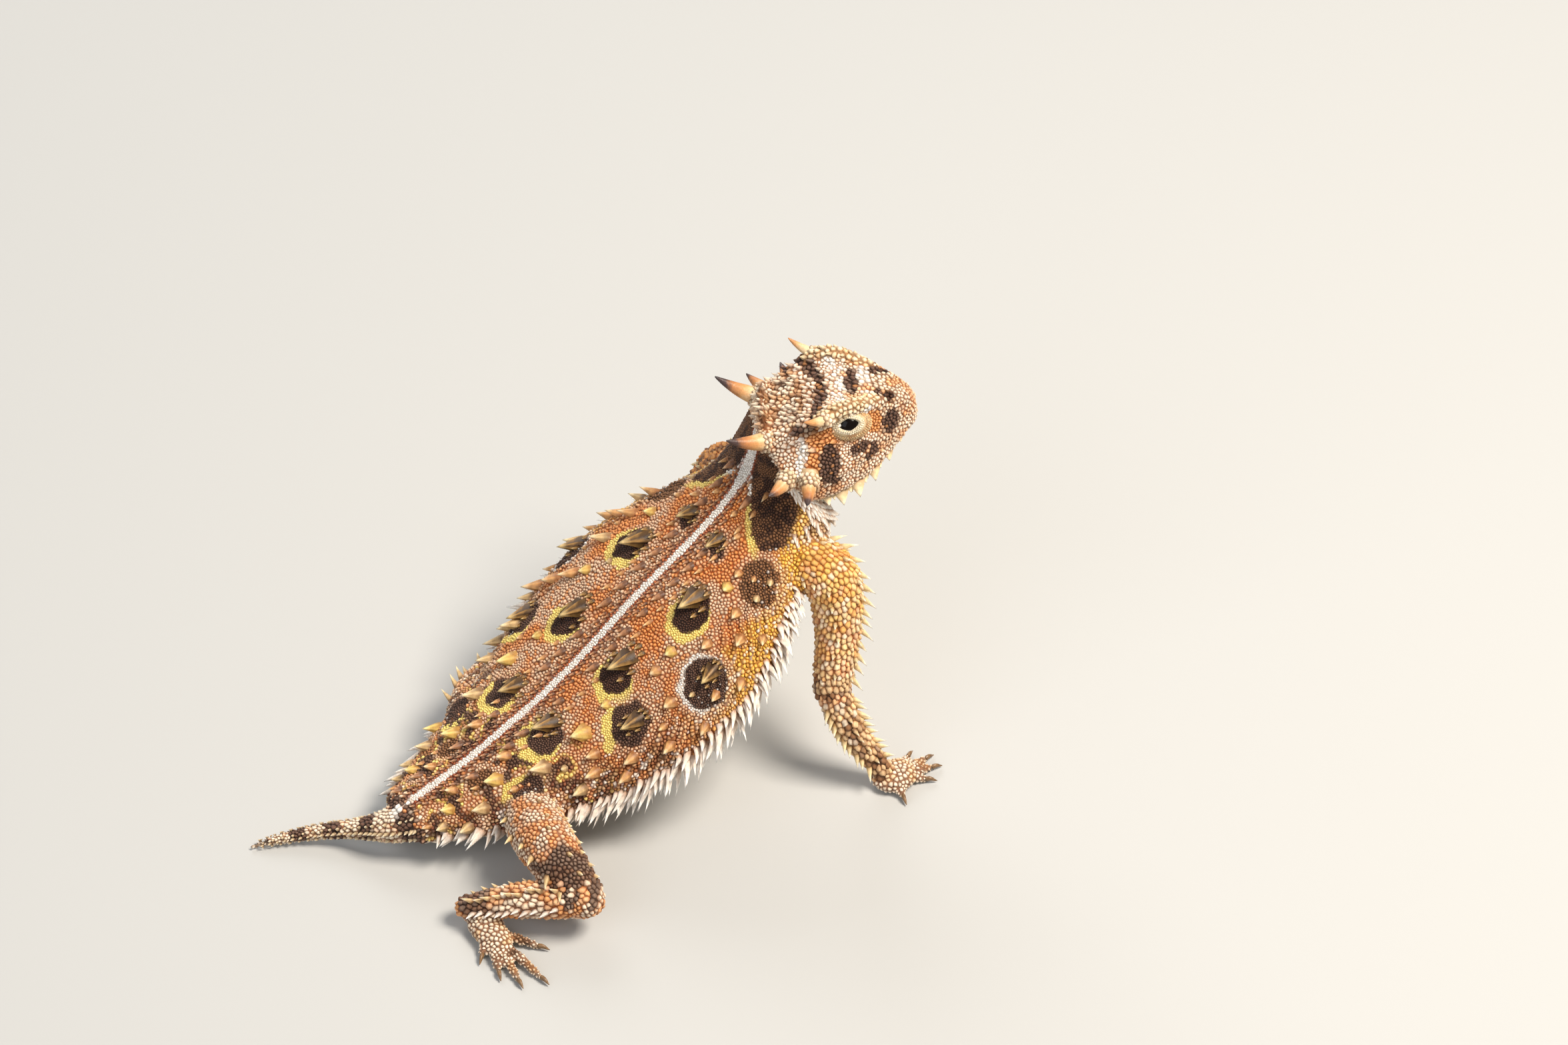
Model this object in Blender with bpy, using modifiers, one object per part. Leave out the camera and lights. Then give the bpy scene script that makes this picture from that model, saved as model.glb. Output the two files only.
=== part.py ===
# A Texas horned lizard at life size, with its chest raised on straight forelegs and its head
# turned to its right. Metres, +Z up. +X is the way the body points and +Y its left side.
# The origin is on the floor, under the middle of the model's box.
# Places on the body are written in millimetres, on the floor under the small of the back.

import math
import random

import bmesh
import bpy
from mathutils import Matrix, Vector

mm = 0.001

# Driving sizes, in metres
jointGap = 0.3 * mm
smallestEdge = 0.0001 * mm
boxMiddleX = -8.7 * mm
boxMiddleY = -1.8 * mm

# Places and sizes of the head, in millimetres and degrees
headPlace = (23.2, 1.0, 54.1)
headYaw = -26.5
headPitch = 6.5
headMiddle = (8.0, 0.0, -6.0)
headCutterSwell = 1.045

eyeCentre = (10.4, 4.75, -0.6)
eyeRadius = 2.25
lidRadius = 3.1
lidOpening = (1.65, 1.6, 1.0)
# The small hollows of the head: middle on the left side and radii
headHollows = {
    "nostril": ((17.5, 2.5, 0.5), (0.55, 0.6, 0.45)),
    "ear": ((4.6, 10.6, -9.9), (1.3, 0.8, 1.6)),
}

# Counts that set how fine each form is
torsoSides = 28
torsoRings = 25
neckRings = 5
limbSides = 10
digitSides = 5
hornSides = 10

# The trunk and neck: back (x, z), belly (x, z) and half width at each station, tail to nape
trunkStations = (
    ((-41.4, 8.3), (-40.0, 2.4), 5.0),
    ((-36.0, 9.9), (-34.0, 1.9), 8.0),
    ((-30.0, 11.8), (-27.0, 1.7), 11.3),
    ((-24.0, 14.6), (-19.5, 2.4), 14.0),
    ((-18.0, 17.5), (-11.0, 4.1), 17.0),
    ((-10.0, 22.6), (-1.5, 8.3), 20.0),
    ((-1.4, 29.1), (8.0, 13.8), 20.6),
    ((5.7, 33.7), (15.3, 19.4), 18.4),
    ((11.0, 37.3), (21.0, 24.6), 15.0),
    ((15.0, 40.8), (26.4, 29.0), 11.6),
    ((18.0, 44.6), (30.6, 35.2), 10.0),
)
sideLineHeight = 0.42
flankSquareness = 0.85

# Spiny scales. Each row of the fringe along a flank: side, degrees from the middle of the back,
# first and last station, count and length. The left rows start past the thigh, which is drawn
# forward under the flank.
fringeRows = (
    (-1, 93.0, 3.0, 8.6, 19, 3.5),
    (-1, 110.0, 3.0, 8.2, 17, 2.6),
    (1, 93.0, 3.6, 8.6, 17, 3.5),
    (1, 110.0, 5.2, 8.2, 11, 2.6),
)
# Each row on the back, on both sides: degrees, first and last station, count and length
backSpineRows = (
    (9.0, 0.9, 9.2, 9, 1.2),
    (24.0, 0.7, 8.6, 8, 1.9),
    (41.0, 1.2, 8.8, 7, 2.2),
    (58.0, 0.6, 9.0, 8, 2.0),
    (75.0, 0.8, 9.4, 8, 2.1),
)
# Each row on the neck, on both sides: degrees, count and length
neckSpineRows = ((62.0, 3, 1.7), (100.0, 4, 2.4), (124.0, 4, 2.2))
# The plates along the jaw: distance forward in the head and length
jawPlates = ((5.8, 1.7), (8.1, 2.2), (10.3, 2.5), (13.2, 2.2), (15.9, 1.8), (18.2, 1.3))
jawPlateOut = (0.0, 0.8, -0.5)
jawPlateRadius = 1.35
tailSpineCount = 11
tailSpineLengths = (1.5, 0.6)
# Each row on a limb: the segment, the way it faces on the left side, count and length
limbSpineRows = {
    "upper_arm": (((0.9, 0.5, 0.1), 6, 1.5), ((-0.2, 0.9, 0.3), 4, 1.1)),
    "forearm": (((-0.9, 0.3, 0.1), 5, 1.3), ((0.9, 0.4, 0.1), 4, 1.0)),
    "thigh": (((-0.9, 0.2, 0.3), 5, 1.9), ((0.1, 0.1, 0.9), 4, 1.3)),
    "shin": (((-0.5, 0.1, 0.8), 4, 1.5), ((-0.4, 0.9, 0.1), 4, 1.5)),
}
limbSpineRun = (0.3, 0.92)
spineSlimness = 0.33
spineWidthLimits = (0.5, 0.85)
spineRootShare = 0.6
spineSeed = 7

# The slanting face where neck and head meet, in the head's own axes: top, bottom and half width
neckTopAtHead = (-2.5, 0.0, -0.9)
neckBottomAtHead = (4.4, 0.0, -13.3)
neckWidthAtHead = 8.6

# The head's sections, snout-ward. Each row: distance forward, then (out, up) at the middle of the
# crown, brow, under the brow, orbit, cheek, upper lip, mouth line, lower lip, jaw edge and throat.
headSections = (
    (-5.0, (0, -0.8), (4.6, -1.8), (5.8, -2.7), (6.6, -3.8), (8.4, -6.0),
     (8.6, -8.2), (8.5, -8.9), (8.3, -9.6), (6.8, -11.8), (0, -12.2)),
    (0.0, (0, -0.4), (5.6, -0.7), (6.7, -1.9), (7.5, -3.4), (10.0, -5.8),
     (9.9, -8.4), (9.8, -9.2), (9.6, -9.9), (8.2, -12.5), (0, -13.1)),
    (3.0, (0, 0.4), (7.0, 1.3), (7.4, -0.4), (8.1, -2.2), (10.9, -5.4),
     (10.4, -8.5), (10.3, -9.3), (10.1, -10.1), (9.0, -12.9), (0, -13.5)),
    (6.0, (0, 1.1), (8.2, 3.0), (7.2, 1.3), (7.4, -1.2), (10.5, -5.0),
     (10.1, -8.4), (9.6, -9.0), (10.0, -9.6), (9.3, -13.0), (0, -13.6)),
    (9.0, (0, 1.5), (8.4, 3.5), (6.9, 1.8), (6.8, -0.9), (9.1, -4.7),
     (9.2, -8.0), (8.4, -8.5), (9.1, -9.0), (8.7, -12.7), (0, -13.3)),
    (12.0, (0, 1.7), (7.5, 3.1), (6.2, 1.5), (6.1, -1.0), (7.5, -4.5),
     (7.8, -7.6), (7.0, -8.0), (7.7, -8.5), (7.4, -12.0), (0, -12.6)),
    (15.0, (0, 1.4), (5.3, 2.1), (4.9, 0.7), (5.1, -1.2), (5.9, -4.4),
     (6.2, -7.1), (5.4, -7.5), (6.1, -8.0), (5.6, -11.2), (0, -11.8)),
    (17.6, (0, 0.6), (3.0, 0.7), (3.4, -0.4), (3.9, -1.6), (4.6, -4.2),
     (4.9, -6.8), (4.1, -7.2), (4.7, -7.6), (3.8, -10.3), (0, -10.8)),
    (19.7, (0, -1.0), (1.9, -1.1), (2.3, -1.8), (2.7, -2.6), (3.2, -4.3),
     (3.3, -6.5), (2.7, -6.9), (3.1, -7.3), (2.2, -9.3), (0, -9.7)),
    (21.0, (0, -2.6), (1.0, -2.7), (1.3, -3.1), (1.5, -3.6), (1.8, -4.6),
     (1.9, -6.2), (1.7, -6.6), (1.7, -7.0), (1.1, -8.2), (0, -8.4)),
)

# The horns, in the head's own axes: root, tip and root radius of each on the left side
horns = {
    "horn_occipital": ((0.2, 4.1, -2.5), (-7.3, 6.9, 0.8), 1.75),
    "horn_temporal_rear": ((0.6, 9.2, -5.9), (-2.6, 13.2, -5.4), 1.45),
    "horn_temporal_front": ((3.6, 10.3, -5.8), (2.6, 15.4, -6.3), 1.45),
    "horn_superciliary": ((7.6, 6.9, 2.2), (4.0, 9.1, 4.0), 1.05),
}
hornRootDepth = 1.1
hornSag = 0.09

# The tail: middle, half width and half height at each station
tailStations = (
    ((-40.2, 0.0, 5.4), 5.0, 3.0),
    ((-42.6, 0.8, 4.7), 4.0, 2.6),
    ((-44.9, 2.8, 3.6), 2.5, 2.1),
    ((-47.6, 5.4, 2.6), 1.7, 1.6),
    ((-51.0, 7.8, 1.8), 1.35, 1.3),
    ((-55.6, 10.0, 1.05), 1.0, 1.0),
    ((-60.4, 11.5, 0.45), 0.4, 0.4),
)
tailSides = 12
tailStepsPerStation = 3
tailDivisions = (("tail_base", 0, 7), ("tail_middle", 7, 13), ("tail_tip", 13, 18))

# The limbs: each segment's places with the radius there
foreLimbs = {
    "right": {
        "upper_arm": (((20.5, -7.0, 33.0), 4.6), ((24.0, -13.6, 31.0), 4.4), ((23.2, -17.0, 24.0), 3.5),
                      ((20.4, -19.8, 15.6), 2.8)),
        "forearm": (((20.4, -19.8, 15.6), 2.6), ((21.4, -23.0, 9.6), 2.45), ((24.2, -27.0, 3.4), 1.75)),
        "palm": ((26.2, -28.0, 1.3), (3.6, 3.1, 1.5)),
        "digits": ((31.9, -24.5), (34.0, -26.9), (33.8, -29.4), (31.4, -31.6), (24.8, -33.3)),
    },
    "left": {
        "upper_arm": (((20.5, 7.0, 33.0), 4.6), ((24.0, 13.6, 31.0), 4.4), ((22.2, 17.2, 24.0), 3.5),
                      ((18.4, 20.2, 15.6), 2.8)),
        "forearm": (((18.4, 20.2, 15.6), 2.6), ((19.4, 22.6, 9.6), 2.45), ((21.6, 25.4, 3.4), 1.75)),
        "palm": ((23.6, 26.4, 1.3), (3.6, 3.1, 1.5)),
        "digits": ((29.3, 22.9), (31.4, 25.3), (31.2, 27.8), (28.8, 30.0), (22.2, 31.7)),
    },
}
hindLimbs = {
    "right": {
        "thigh": (((-24.5, -8.0, 8.6), 4.8), ((-27.4, -15.5, 9.8), 4.8), ((-28.4, -22.0, 9.2), 4.1),
                  ((-27.9, -28.6, 6.2), 3.1)),
        "shin": (((-27.9, -28.6, 6.2), 2.9), ((-35.2, -22.6, 4.9), 2.7), ((-41.4, -18.0, 3.0), 1.8)),
        "palm": ((-40.4, -22.4, 1.4), (2.5, 5.0, 1.7)),
        "digits": ((-44.6, -26.6), (-43.8, -31.0), (-41.9, -34.0), (-38.4, -35.4), (-34.6, -29.6)),
    },
    "left": {
        "thigh": (((-24.0, 7.0, 8.4), 4.6), ((-20.2, 12.2, 7.8), 4.4), ((-15.8, 15.6, 7.2), 3.8),
                  ((-11.2, 17.8, 6.2), 3.0)),
        "shin": (((-11.2, 17.8, 6.2), 2.8), ((-18.0, 14.8, 4.4), 2.5), ((-24.6, 12.0, 2.9), 1.8)),
        "palm": ((-20.6, 12.2, 1.4), (5.0, 2.5, 1.7)),
        "digits": ((-16.0, 8.6), (-11.4, 9.2), (-8.2, 11.0), (-6.8, 14.4), (-13.4, 18.0)),
    },
}
digitRadius = 0.85
clawLength = 1.6
clawTipRadius = 0.12
limbClearance = 0.6
# A segment's rounded end: how far it reaches and how wide it ends, as shares of the radius there
domeReach = 0.7
domeWidth = 0.55

# Colours from the photograph: hex colour and roughness by node
nodeColours = {
    "torso": ("A5673A", 0.75),
    "neck": ("8A5A38", 0.75),
    "head": ("D8C6A8", 0.7),
    "eye": ("17110D", 0.08),
    "horn": ("B98A55", 0.5),
    "tail": ("CDB595", 0.75),
    "upper_arm": ("C99A48", 0.75),
    "forearm": ("C2A684", 0.75),
    "hand": ("D9C8AC", 0.7),
    "thigh": ("B78A5C", 0.75),
    "shin": ("B99468", 0.75),
    "foot": ("D2BD9C", 0.7),
}

upward = Vector((0.0, 0.0, 1.0))
forward = Vector((1.0, 0.0, 0.0))
leftward = Vector((0.0, 1.0, 0.0))


def place(x, y, z):
    return Vector((x, y, z)) * mm


def headAxes():
    yaw = Matrix.Rotation(math.radians(headYaw), 3, "Z")
    pitch = Matrix.Rotation(math.radians(-headPitch), 3, "Y")
    return yaw @ pitch


def inHead(point):
    return place(*headPlace) + headAxes() @ (Vector(point) * mm)


def clearScene():
    for thing in list(bpy.data.objects):
        bpy.data.objects.remove(thing, do_unlink=True)


def newCollection(name):
    collection = bpy.data.collections.new(name)
    bpy.context.scene.collection.children.link(collection)
    return collection


def smoothRow(rows, t):
    # A smooth curve through equal rows of numbers, one step of t from each row to the next
    k = min(int(t), len(rows) - 2)
    f = t - k
    near, far = rows[k], rows[k + 1]
    before = rows[k - 1] if k > 0 else [2 * a - b for a, b in zip(near, far)]
    after = rows[k + 2] if k + 2 < len(rows) else [2 * b - a for a, b in zip(near, far)]
    values = []
    for a, b, c, d in zip(before, near, far, after):
        squared = 2 * a - 5 * b + 4 * c - d
        cubed = 3 * b - a - 3 * c + d
        values.append(0.5 * (2 * b + (c - a) * f + squared * f ** 2 + cubed * f ** 3))
    return values


def ovalRing(top, bottom, side, halfWidth, count):
    # A flattened oval: widest at the side line, squarer at the flanks than an ellipse
    ring = []
    for k in range(count):
        ring.append(ovalPoint(top, bottom, side, halfWidth, 2 * math.pi * k / count))
    return ring


def ovalPoint(top, bottom, side, halfWidth, angle):
    lift = math.cos(angle)
    out = math.copysign(abs(math.sin(angle)) ** flankSquareness, math.sin(angle))
    part = (1 - sideLineHeight) * lift if lift > 0 else sideLineHeight * lift
    return bottom.lerp(top, sideLineHeight + part) + side * (out * halfWidth)


def trunkFrame(t, grow=0.0):
    rows = [(*back, *belly, width) for back, belly, width in trunkStations]
    backX, backZ, bellyX, bellyZ, width = smoothRow(rows, t)
    back = place(backX, 0, backZ)
    belly = place(bellyX, 0, bellyZ)
    rise = (back - belly).normalized()
    return back + rise * grow, belly - rise * grow, width * mm + grow


def trunkPoint(t, angle, grow=0.0):
    back, belly, width = trunkFrame(t, grow)
    return ovalPoint(back, belly, leftward, width, angle)


def trunkNormal(t, angle):
    step = 0.02
    along = trunkPoint(t + step, angle) - trunkPoint(t - step, angle)
    around = trunkPoint(t, angle + step) - trunkPoint(t, angle - step)
    return along.cross(around).normalized()


def loft(name, rings):
    # A closed skin over rings of equal count, with a flat face on each end
    mesh = bmesh.new()
    loops = [[mesh.verts.new(point) for point in ring] for ring in rings]
    for near, far in zip(loops, loops[1:]):
        for k in range(len(near)):
            mesh.faces.new((near[k - 1], near[k], far[k], far[k - 1]))
    mesh.faces.new(loops[0])
    mesh.faces.new(loops[-1])
    return finishMesh(name, mesh)


def finishMesh(name, mesh):
    mesh.normal_update()
    bmesh.ops.recalc_face_normals(mesh, faces=mesh.faces)
    data = bpy.data.meshes.new(name)
    mesh.to_mesh(data)
    mesh.free()
    return bpy.data.objects.new(name, data)


def tubeRings(stations, sides, hint, grow=0.0):
    # Rings at right angles to a path; each station is its middle, half width and half height
    rings = []
    for k, (middle, width, height) in enumerate(stations):
        ahead = (stations[min(k + 1, len(stations) - 1)][0] - stations[max(k - 1, 0)][0]).normalized()
        across = hint.cross(ahead).normalized()
        over = ahead.cross(across)
        wide = across * (width + grow)
        high = over * (height + grow)
        turns = [2 * math.pi * i / sides for i in range(sides)]
        rings.append([middle + wide * math.cos(turn) + high * math.sin(turn) for turn in turns])
    return rings


def roundedSegment(name, marks, sides, hint, grow=0.0):
    # A limb's segment: a smooth tube through its marks, rounded off past both ends
    rows = [(*point, radius) for point, radius in marks]
    steps = 2 * (len(rows) - 1)
    stations = []
    for k in range(steps + 1):
        x, y, z, radius = smoothRow(rows, k * (len(rows) - 1) / steps)
        stations.append((place(x, y, z), radius * mm, radius * mm))
    first, second = stations[0], stations[1]
    last, lastButOne = stations[-1], stations[-2]
    behind = (first[0] - second[0]).normalized() * (first[1] * domeReach + grow)
    beyond = (last[0] - lastButOne[0]).normalized() * (last[1] * domeReach + grow)
    startRadius = first[1] * domeWidth
    endRadius = last[1] * domeWidth
    stations.insert(0, (first[0] + behind, startRadius, startRadius))
    stations.append((last[0] + beyond, endRadius, endRadius))
    return loft(name, tubeRings(stations, sides, hint, grow))


def ball(name, centre, radii, axes=None, segments=12, rings=8):
    mesh = bmesh.new()
    size = Matrix.Diagonal((*[radius * mm for radius in radii], 1.0))
    turn = (axes or Matrix.Identity(3)).to_4x4()
    frame = Matrix.Translation(centre) @ turn @ size
    bmesh.ops.create_uvsphere(mesh, u_segments=segments, v_segments=rings, radius=1.0, matrix=frame)
    return finishMesh(name, mesh)


def spine(root, direction, length, sides=5, radius=None, flatness=1.0, along=forward):
    # A tapering spine whose root is sunk in the skin; its length varies a little
    if radius is None:
        radius = min(max(length * spineSlimness, spineWidthLimits[0]), spineWidthLimits[1])
    length *= mm * dice.uniform(0.85, 1.15)
    radius *= mm
    sunk = spineRootShare * length
    direction = direction.normalized()
    wide = (along - direction * along.dot(direction)).normalized()
    thin = direction.cross(wide)
    depth = length + sunk
    base = root - direction * sunk
    mesh = bmesh.new()
    bmesh.ops.create_cone(mesh, cap_ends=True, segments=sides, radius1=1.0, radius2=0.0, depth=1.0)
    frame = Matrix((wide * radius, thin * (radius * flatness), direction * depth)).transposed().to_4x4()
    mesh.transform(Matrix.Translation(base + direction * (depth / 2)) @ frame)
    return finishMesh("spine", mesh)


def withModifier(thing, kind, **settings):
    modifier = thing.modifiers.new(kind.title(), kind)
    for setting, value in settings.items():
        setattr(modifier, setting, value)
    bpy.context.view_layer.update()
    evaluated = thing.evaluated_get(bpy.context.evaluated_depsgraph_get())
    data = bpy.data.meshes.new_from_object(evaluated)
    thing.modifiers.clear()
    thing.data = data


def keepLargest(thing):
    # Only the closed surface that holds the most stays
    mesh = bmesh.new()
    mesh.from_mesh(thing.data)
    bmesh.ops.dissolve_degenerate(mesh, dist=smallestEdge, edges=mesh.edges)
    bmesh.ops.triangulate(mesh, faces=mesh.faces)
    left = set(mesh.verts)
    islands = []
    while left:
        stack = [left.pop()]
        island = set(stack)
        while stack:
            for edge in stack.pop().link_edges:
                for vertex in edge.verts:
                    if vertex not in island:
                        island.add(vertex)
                        stack.append(vertex)
        left -= island
        islands.append(island)

    def volume(island):
        faces = {face for vertex in island for face in vertex.link_faces}
        return sum(a.co.dot(b.co.cross(c.co)) for a, b, c in (face.verts for face in faces))

    largest = max(islands, key=volume)
    loose = [vertex for vertex in mesh.verts if vertex not in largest]
    bmesh.ops.delete(mesh, geom=loose, context="VERTS")
    mesh.to_mesh(thing.data)
    mesh.free()


def joinPieces(core, pieces):
    # One union of a core with its closed pieces, after which the pieces are removed
    if not pieces:
        return
    holder = newCollection(core.name + "_pieces")
    for piece in pieces:
        holder.objects.link(piece)
    settings = {"operand_type": "COLLECTION", "collection": holder}
    withModifier(core, "BOOLEAN", operation="UNION", solver="MANIFOLD", **settings)
    for piece in pieces:
        bpy.data.objects.remove(piece, do_unlink=True)
    bpy.data.collections.remove(holder)


def cutAway(thing, cutters, solver="EXACT"):
    for cutter in cutters:
        if cutter.name not in cutterCollection.objects:
            cutterCollection.objects.link(cutter)
        cutter.hide_render = True
        cutter.display_type = "WIRE"
        withModifier(thing, "BOOLEAN", operation="DIFFERENCE", solver=solver, object=cutter)


def colourPart(thing, kind):
    colour, roughness = nodeColours[kind]
    look = bpy.data.materials.new(thing.name + "_look")
    look.use_nodes = True
    shader = look.node_tree.nodes["Principled BSDF"]
    channels = [int(colour[k:k + 2], 16) / 255 for k in (0, 2, 4)]
    shader.inputs["Base Color"].default_value = (*[channel ** 2.2 for channel in channels], 1.0)
    shader.inputs["Roughness"].default_value = roughness
    thing.data.materials.clear()
    thing.data.materials.append(look)


def finishPart(thing, kind):
    keepLargest(thing)
    thing.parent = bodyOrigin
    colourPart(thing, kind)
    thing.data.shade_smooth()
    thing.data.set_sharp_from_angle(angle=math.radians(40))
    return thing


def startPart(thing):
    partCollection.objects.link(thing)
    return thing


def clearOfLimbs(point):
    # Whether a point on the trunk or neck stands free of every limb
    for limb in list(foreLimbs.values()) + list(hindLimbs.values()):
        for segment in ("upper_arm", "forearm", "thigh", "shin"):
            marks = limb.get(segment, ())
            for (near, nearRadius), (far, farRadius) in zip(marks, marks[1:]):
                start = place(*near)
                run = place(*far) - start
                share = min(max((point - start).dot(run) / run.length_squared, 0.0), 1.0)
                radius = nearRadius + (farRadius - nearRadius) * share
                if (point - start - run * share).length < (radius + limbClearance) * mm:
                    return False
    return True


def trunkSpine(t, turn, length, lean):
    # A spine on the trunk that leans towards the tail
    root = trunkPoint(t, turn)
    tailward = (trunkPoint(t - 0.05, turn) - root).normalized()
    direction = (trunkNormal(t, turn) + tailward * lean).normalized()
    if clearOfLimbs(root) and clearOfLimbs(root + direction * length * mm):
        return [spine(root, direction, length)]
    return []


def trunkSpines():
    spines = []
    for side, angle, first, last, count, length in fringeRows:
        for k in range(count):
            share = (k + 0.5) / count
            swell = 0.6 + 0.4 * math.sin(math.pi * share)
            t = first + (last - first) * share + dice.uniform(-0.04, 0.04)
            spines += trunkSpine(t, math.radians(angle) * side, length * swell, 0.45)
    for row, (angle, first, last, count, length) in enumerate(backSpineRows):
        for side in (1, -1):
            for k in range(count):
                share = (k + 0.25 + 0.5 * (row % 2)) / count
                t = first + (last - first) * share + dice.uniform(-0.12, 0.12)
                turn = math.radians(angle + dice.uniform(-3.0, 3.0)) * side
                spines += trunkSpine(t, turn, length, 0.8)
    return spines


def buildTorso():
    last = len(trunkStations) - 2
    rings = []
    for k in range(torsoRings + 1):
        back, belly, width = trunkFrame(last * k / torsoRings)
        rings.append(ovalRing(back, belly, leftward, width, torsoSides))
    torso = startPart(loft("torso", rings))
    joinPieces(torso, trunkSpines())
    return finishPart(torso, "torso")


def trunkCutter():
    # The trunk and neck grown by the joint's gap, which shapes the root of each limb
    last = len(trunkStations) - 1
    rings = []
    for k in range(torsoRings + 1):
        back, belly, width = trunkFrame(last * k / torsoRings, jointGap)
        rings.append(ovalRing(back, belly, leftward, width, torsoSides))
    return loft("cut_trunk", rings)


def neckEndFrame(gap):
    top = inHead(neckTopAtHead)
    bottom = inHead(neckBottomAtHead)
    back = (headAxes() @ leftward).cross(bottom - top).normalized() * gap
    return top + back, bottom + back


def neckFrames():
    # Sections from the trunk's end to the head's rear face: top, bottom, side and half width
    first = len(trunkStations) - 2
    back, belly, width = trunkFrame(first)
    clear = (leftward.cross(back - belly)).normalized() * jointGap
    frames = [(back + clear, belly + clear, leftward, width - 0.1 * mm)]
    back, belly, width = trunkFrame(first + 0.5)
    frames.append((back, belly, leftward, width))
    nape, gullet, napeWidth = trunkFrame(first + 1)
    endTop, endBottom = neckEndFrame(jointGap)
    for k in range(neckRings):
        share = k / (neckRings - 1)
        side = leftward.lerp(headAxes() @ leftward, share).normalized()
        width = napeWidth + (neckWidthAtHead * mm - napeWidth) * share
        frames.append((nape.lerp(endTop, share), gullet.lerp(endBottom, share), side, width))
    return frames


def neckSpines(frames):
    spines = []
    for angle, count, length in neckSpineRows:
        for side in (1, -1):
            for k in range(count):
                top, bottom, across, width = frames[min(1 + k, len(frames) - 2)]
                turn = math.radians(angle + dice.uniform(-4.0, 4.0)) * side
                root = ovalPoint(top, bottom, across, width, turn)
                out = (root - top.lerp(bottom, 1 - sideLineHeight)).normalized()
                tailward = across.cross(top - bottom).normalized() * -0.5
                if clearOfLimbs(root + out * length * mm):
                    spines.append(spine(root, out + tailward, length))
    return spines


def buildNeck():
    frames = neckFrames()
    neck = startPart(loft("neck", [ovalRing(*frame, torsoSides) for frame in frames]))
    joinPieces(neck, neckSpines(frames))
    cutAway(neck, hornSockets + [headCutter()], "MANIFOLD")
    return finishPart(neck, "neck")


def hornSolid(name, horn, side, grow=0.0):
    # A horn as a loft along a shallow curve, its root sunk in the head
    root, tip, radius = horn
    root = inHead((root[0], root[1] * side, root[2]))
    tip = inHead((tip[0], tip[1] * side, tip[2]))
    ahead = (tip - root).normalized()
    start = root - ahead * (hornRootDepth * mm + grow)
    length = (tip - start).length
    sag = headAxes() @ Vector((0.0, 0.0, -hornSag * length))
    shares = (0.0, 0.25, 0.5, 0.75, 0.92, 1.0)
    thickness = (1.0, 0.93, 0.74, 0.48, 0.24, 0.08)
    stations = []
    for share, thick in zip(shares, thickness):
        bow = 4 * share * (1 - share)
        reach = radius * mm * thick
        stations.append((start.lerp(tip, share) + sag * bow, reach, reach))
    return loft(name, tubeRings(stations, hornSides, headAxes() @ upward, grow))


def headForm(name, swell=1.0):
    # The smoothed head without its details, swollen a little where it is to cut its neighbour
    middle = Vector(headMiddle)
    rings = []
    for row in headSections:
        ahead, marks = row[0], row[1:]
        left = [(ahead, out, up) for out, up in marks]
        right = [(ahead, -out, up) for out, up in marks[1:-1]]
        rings.append([inHead(middle + (Vector(point) - middle) * swell) for point in left + right[::-1]])
    head = loft(name, rings)
    partCollection.objects.link(head)
    withModifier(head, "SUBSURF", levels=1, render_levels=1)
    return head


def headCutter():
    # The head with the joint's gap round it, which shapes the front of the neck
    cutter = headForm("cut_head", headCutterSwell)
    partCollection.objects.unlink(cutter)
    cutterCollection.objects.link(cutter)
    cutAway(cutter, [rearBlock("cut_cutter_rear", jointGap)])
    return cutter


def buildHead():
    head = headForm("head")
    axes = headAxes()
    pieces = []
    cutters = []
    for side in (1, -1):
        centre = inHead((eyeCentre[0], eyeCentre[1] * side, eyeCentre[2]))
        pieces.append(ball("lid", centre, [lidRadius] * 3, axes, 14, 9))
        cutters.append(ball("cut_orbit", centre, [eyeRadius + jointGap / mm] * 3, axes, 14, 9))
        slit = inHead((eyeCentre[0], (eyeCentre[1] + lidRadius) * side, eyeCentre[2]))
        cutters.append(ball("cut_lids", slit, lidOpening, axes, 14, 8))
        for hollow, (middle, radii) in headHollows.items():
            middle = inHead((middle[0], middle[1] * side, middle[2]))
            cutters.append(ball("cut_" + hollow, middle, radii, axes, 8, 6))
    joinPieces(head, pieces + jawPlatePieces())
    cutAway(head, cutters + hornSockets + [rearBlock("cut_head_rear", 0.0)], "MANIFOLD")
    return finishPart(head, "head")


def jawPlatePieces():
    # Flat triangular plates that stand out along the edge of the jaw
    pieces = []
    axes = headAxes()
    rows = [(row[0], *row[-2]) for row in headSections]
    for ahead, length in jawPlates:
        k = next(i for i in range(len(rows) - 1) if rows[i + 1][0] > ahead)
        share = (ahead - rows[k][0]) / (rows[k + 1][0] - rows[k][0])
        out, up = [a + (b - a) * share for a, b in zip(rows[k][1:], rows[k + 1][1:])]
        for side in (1, -1):
            root = inHead((ahead, (out - 0.5) * side, up + 0.5))
            direction = axes @ Vector((jawPlateOut[0], jawPlateOut[1] * side, jawPlateOut[2]))
            pieces.append(spine(root, direction, length + 0.5, 4, jawPlateRadius, 0.55, axes @ forward))
    return pieces


def rearBlock(name, gap):
    # Takes off what lies behind the head's slanting rear face
    depth = 10.0 * mm
    breadth = 40.0 * mm
    top, bottom = neckEndFrame(depth / 2 + gap)
    side = headAxes() @ leftward
    down = (bottom - top).normalized()
    turn = Matrix((side.cross(down), side, down)).transposed().to_4x4()
    mesh = bmesh.new()
    bmesh.ops.create_cube(mesh, size=1.0)
    size = Matrix.Diagonal((depth, breadth, breadth, 1.0))
    mesh.transform(Matrix.Translation((top + bottom) / 2) @ turn @ size)
    return finishMesh(name, mesh)


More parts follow.
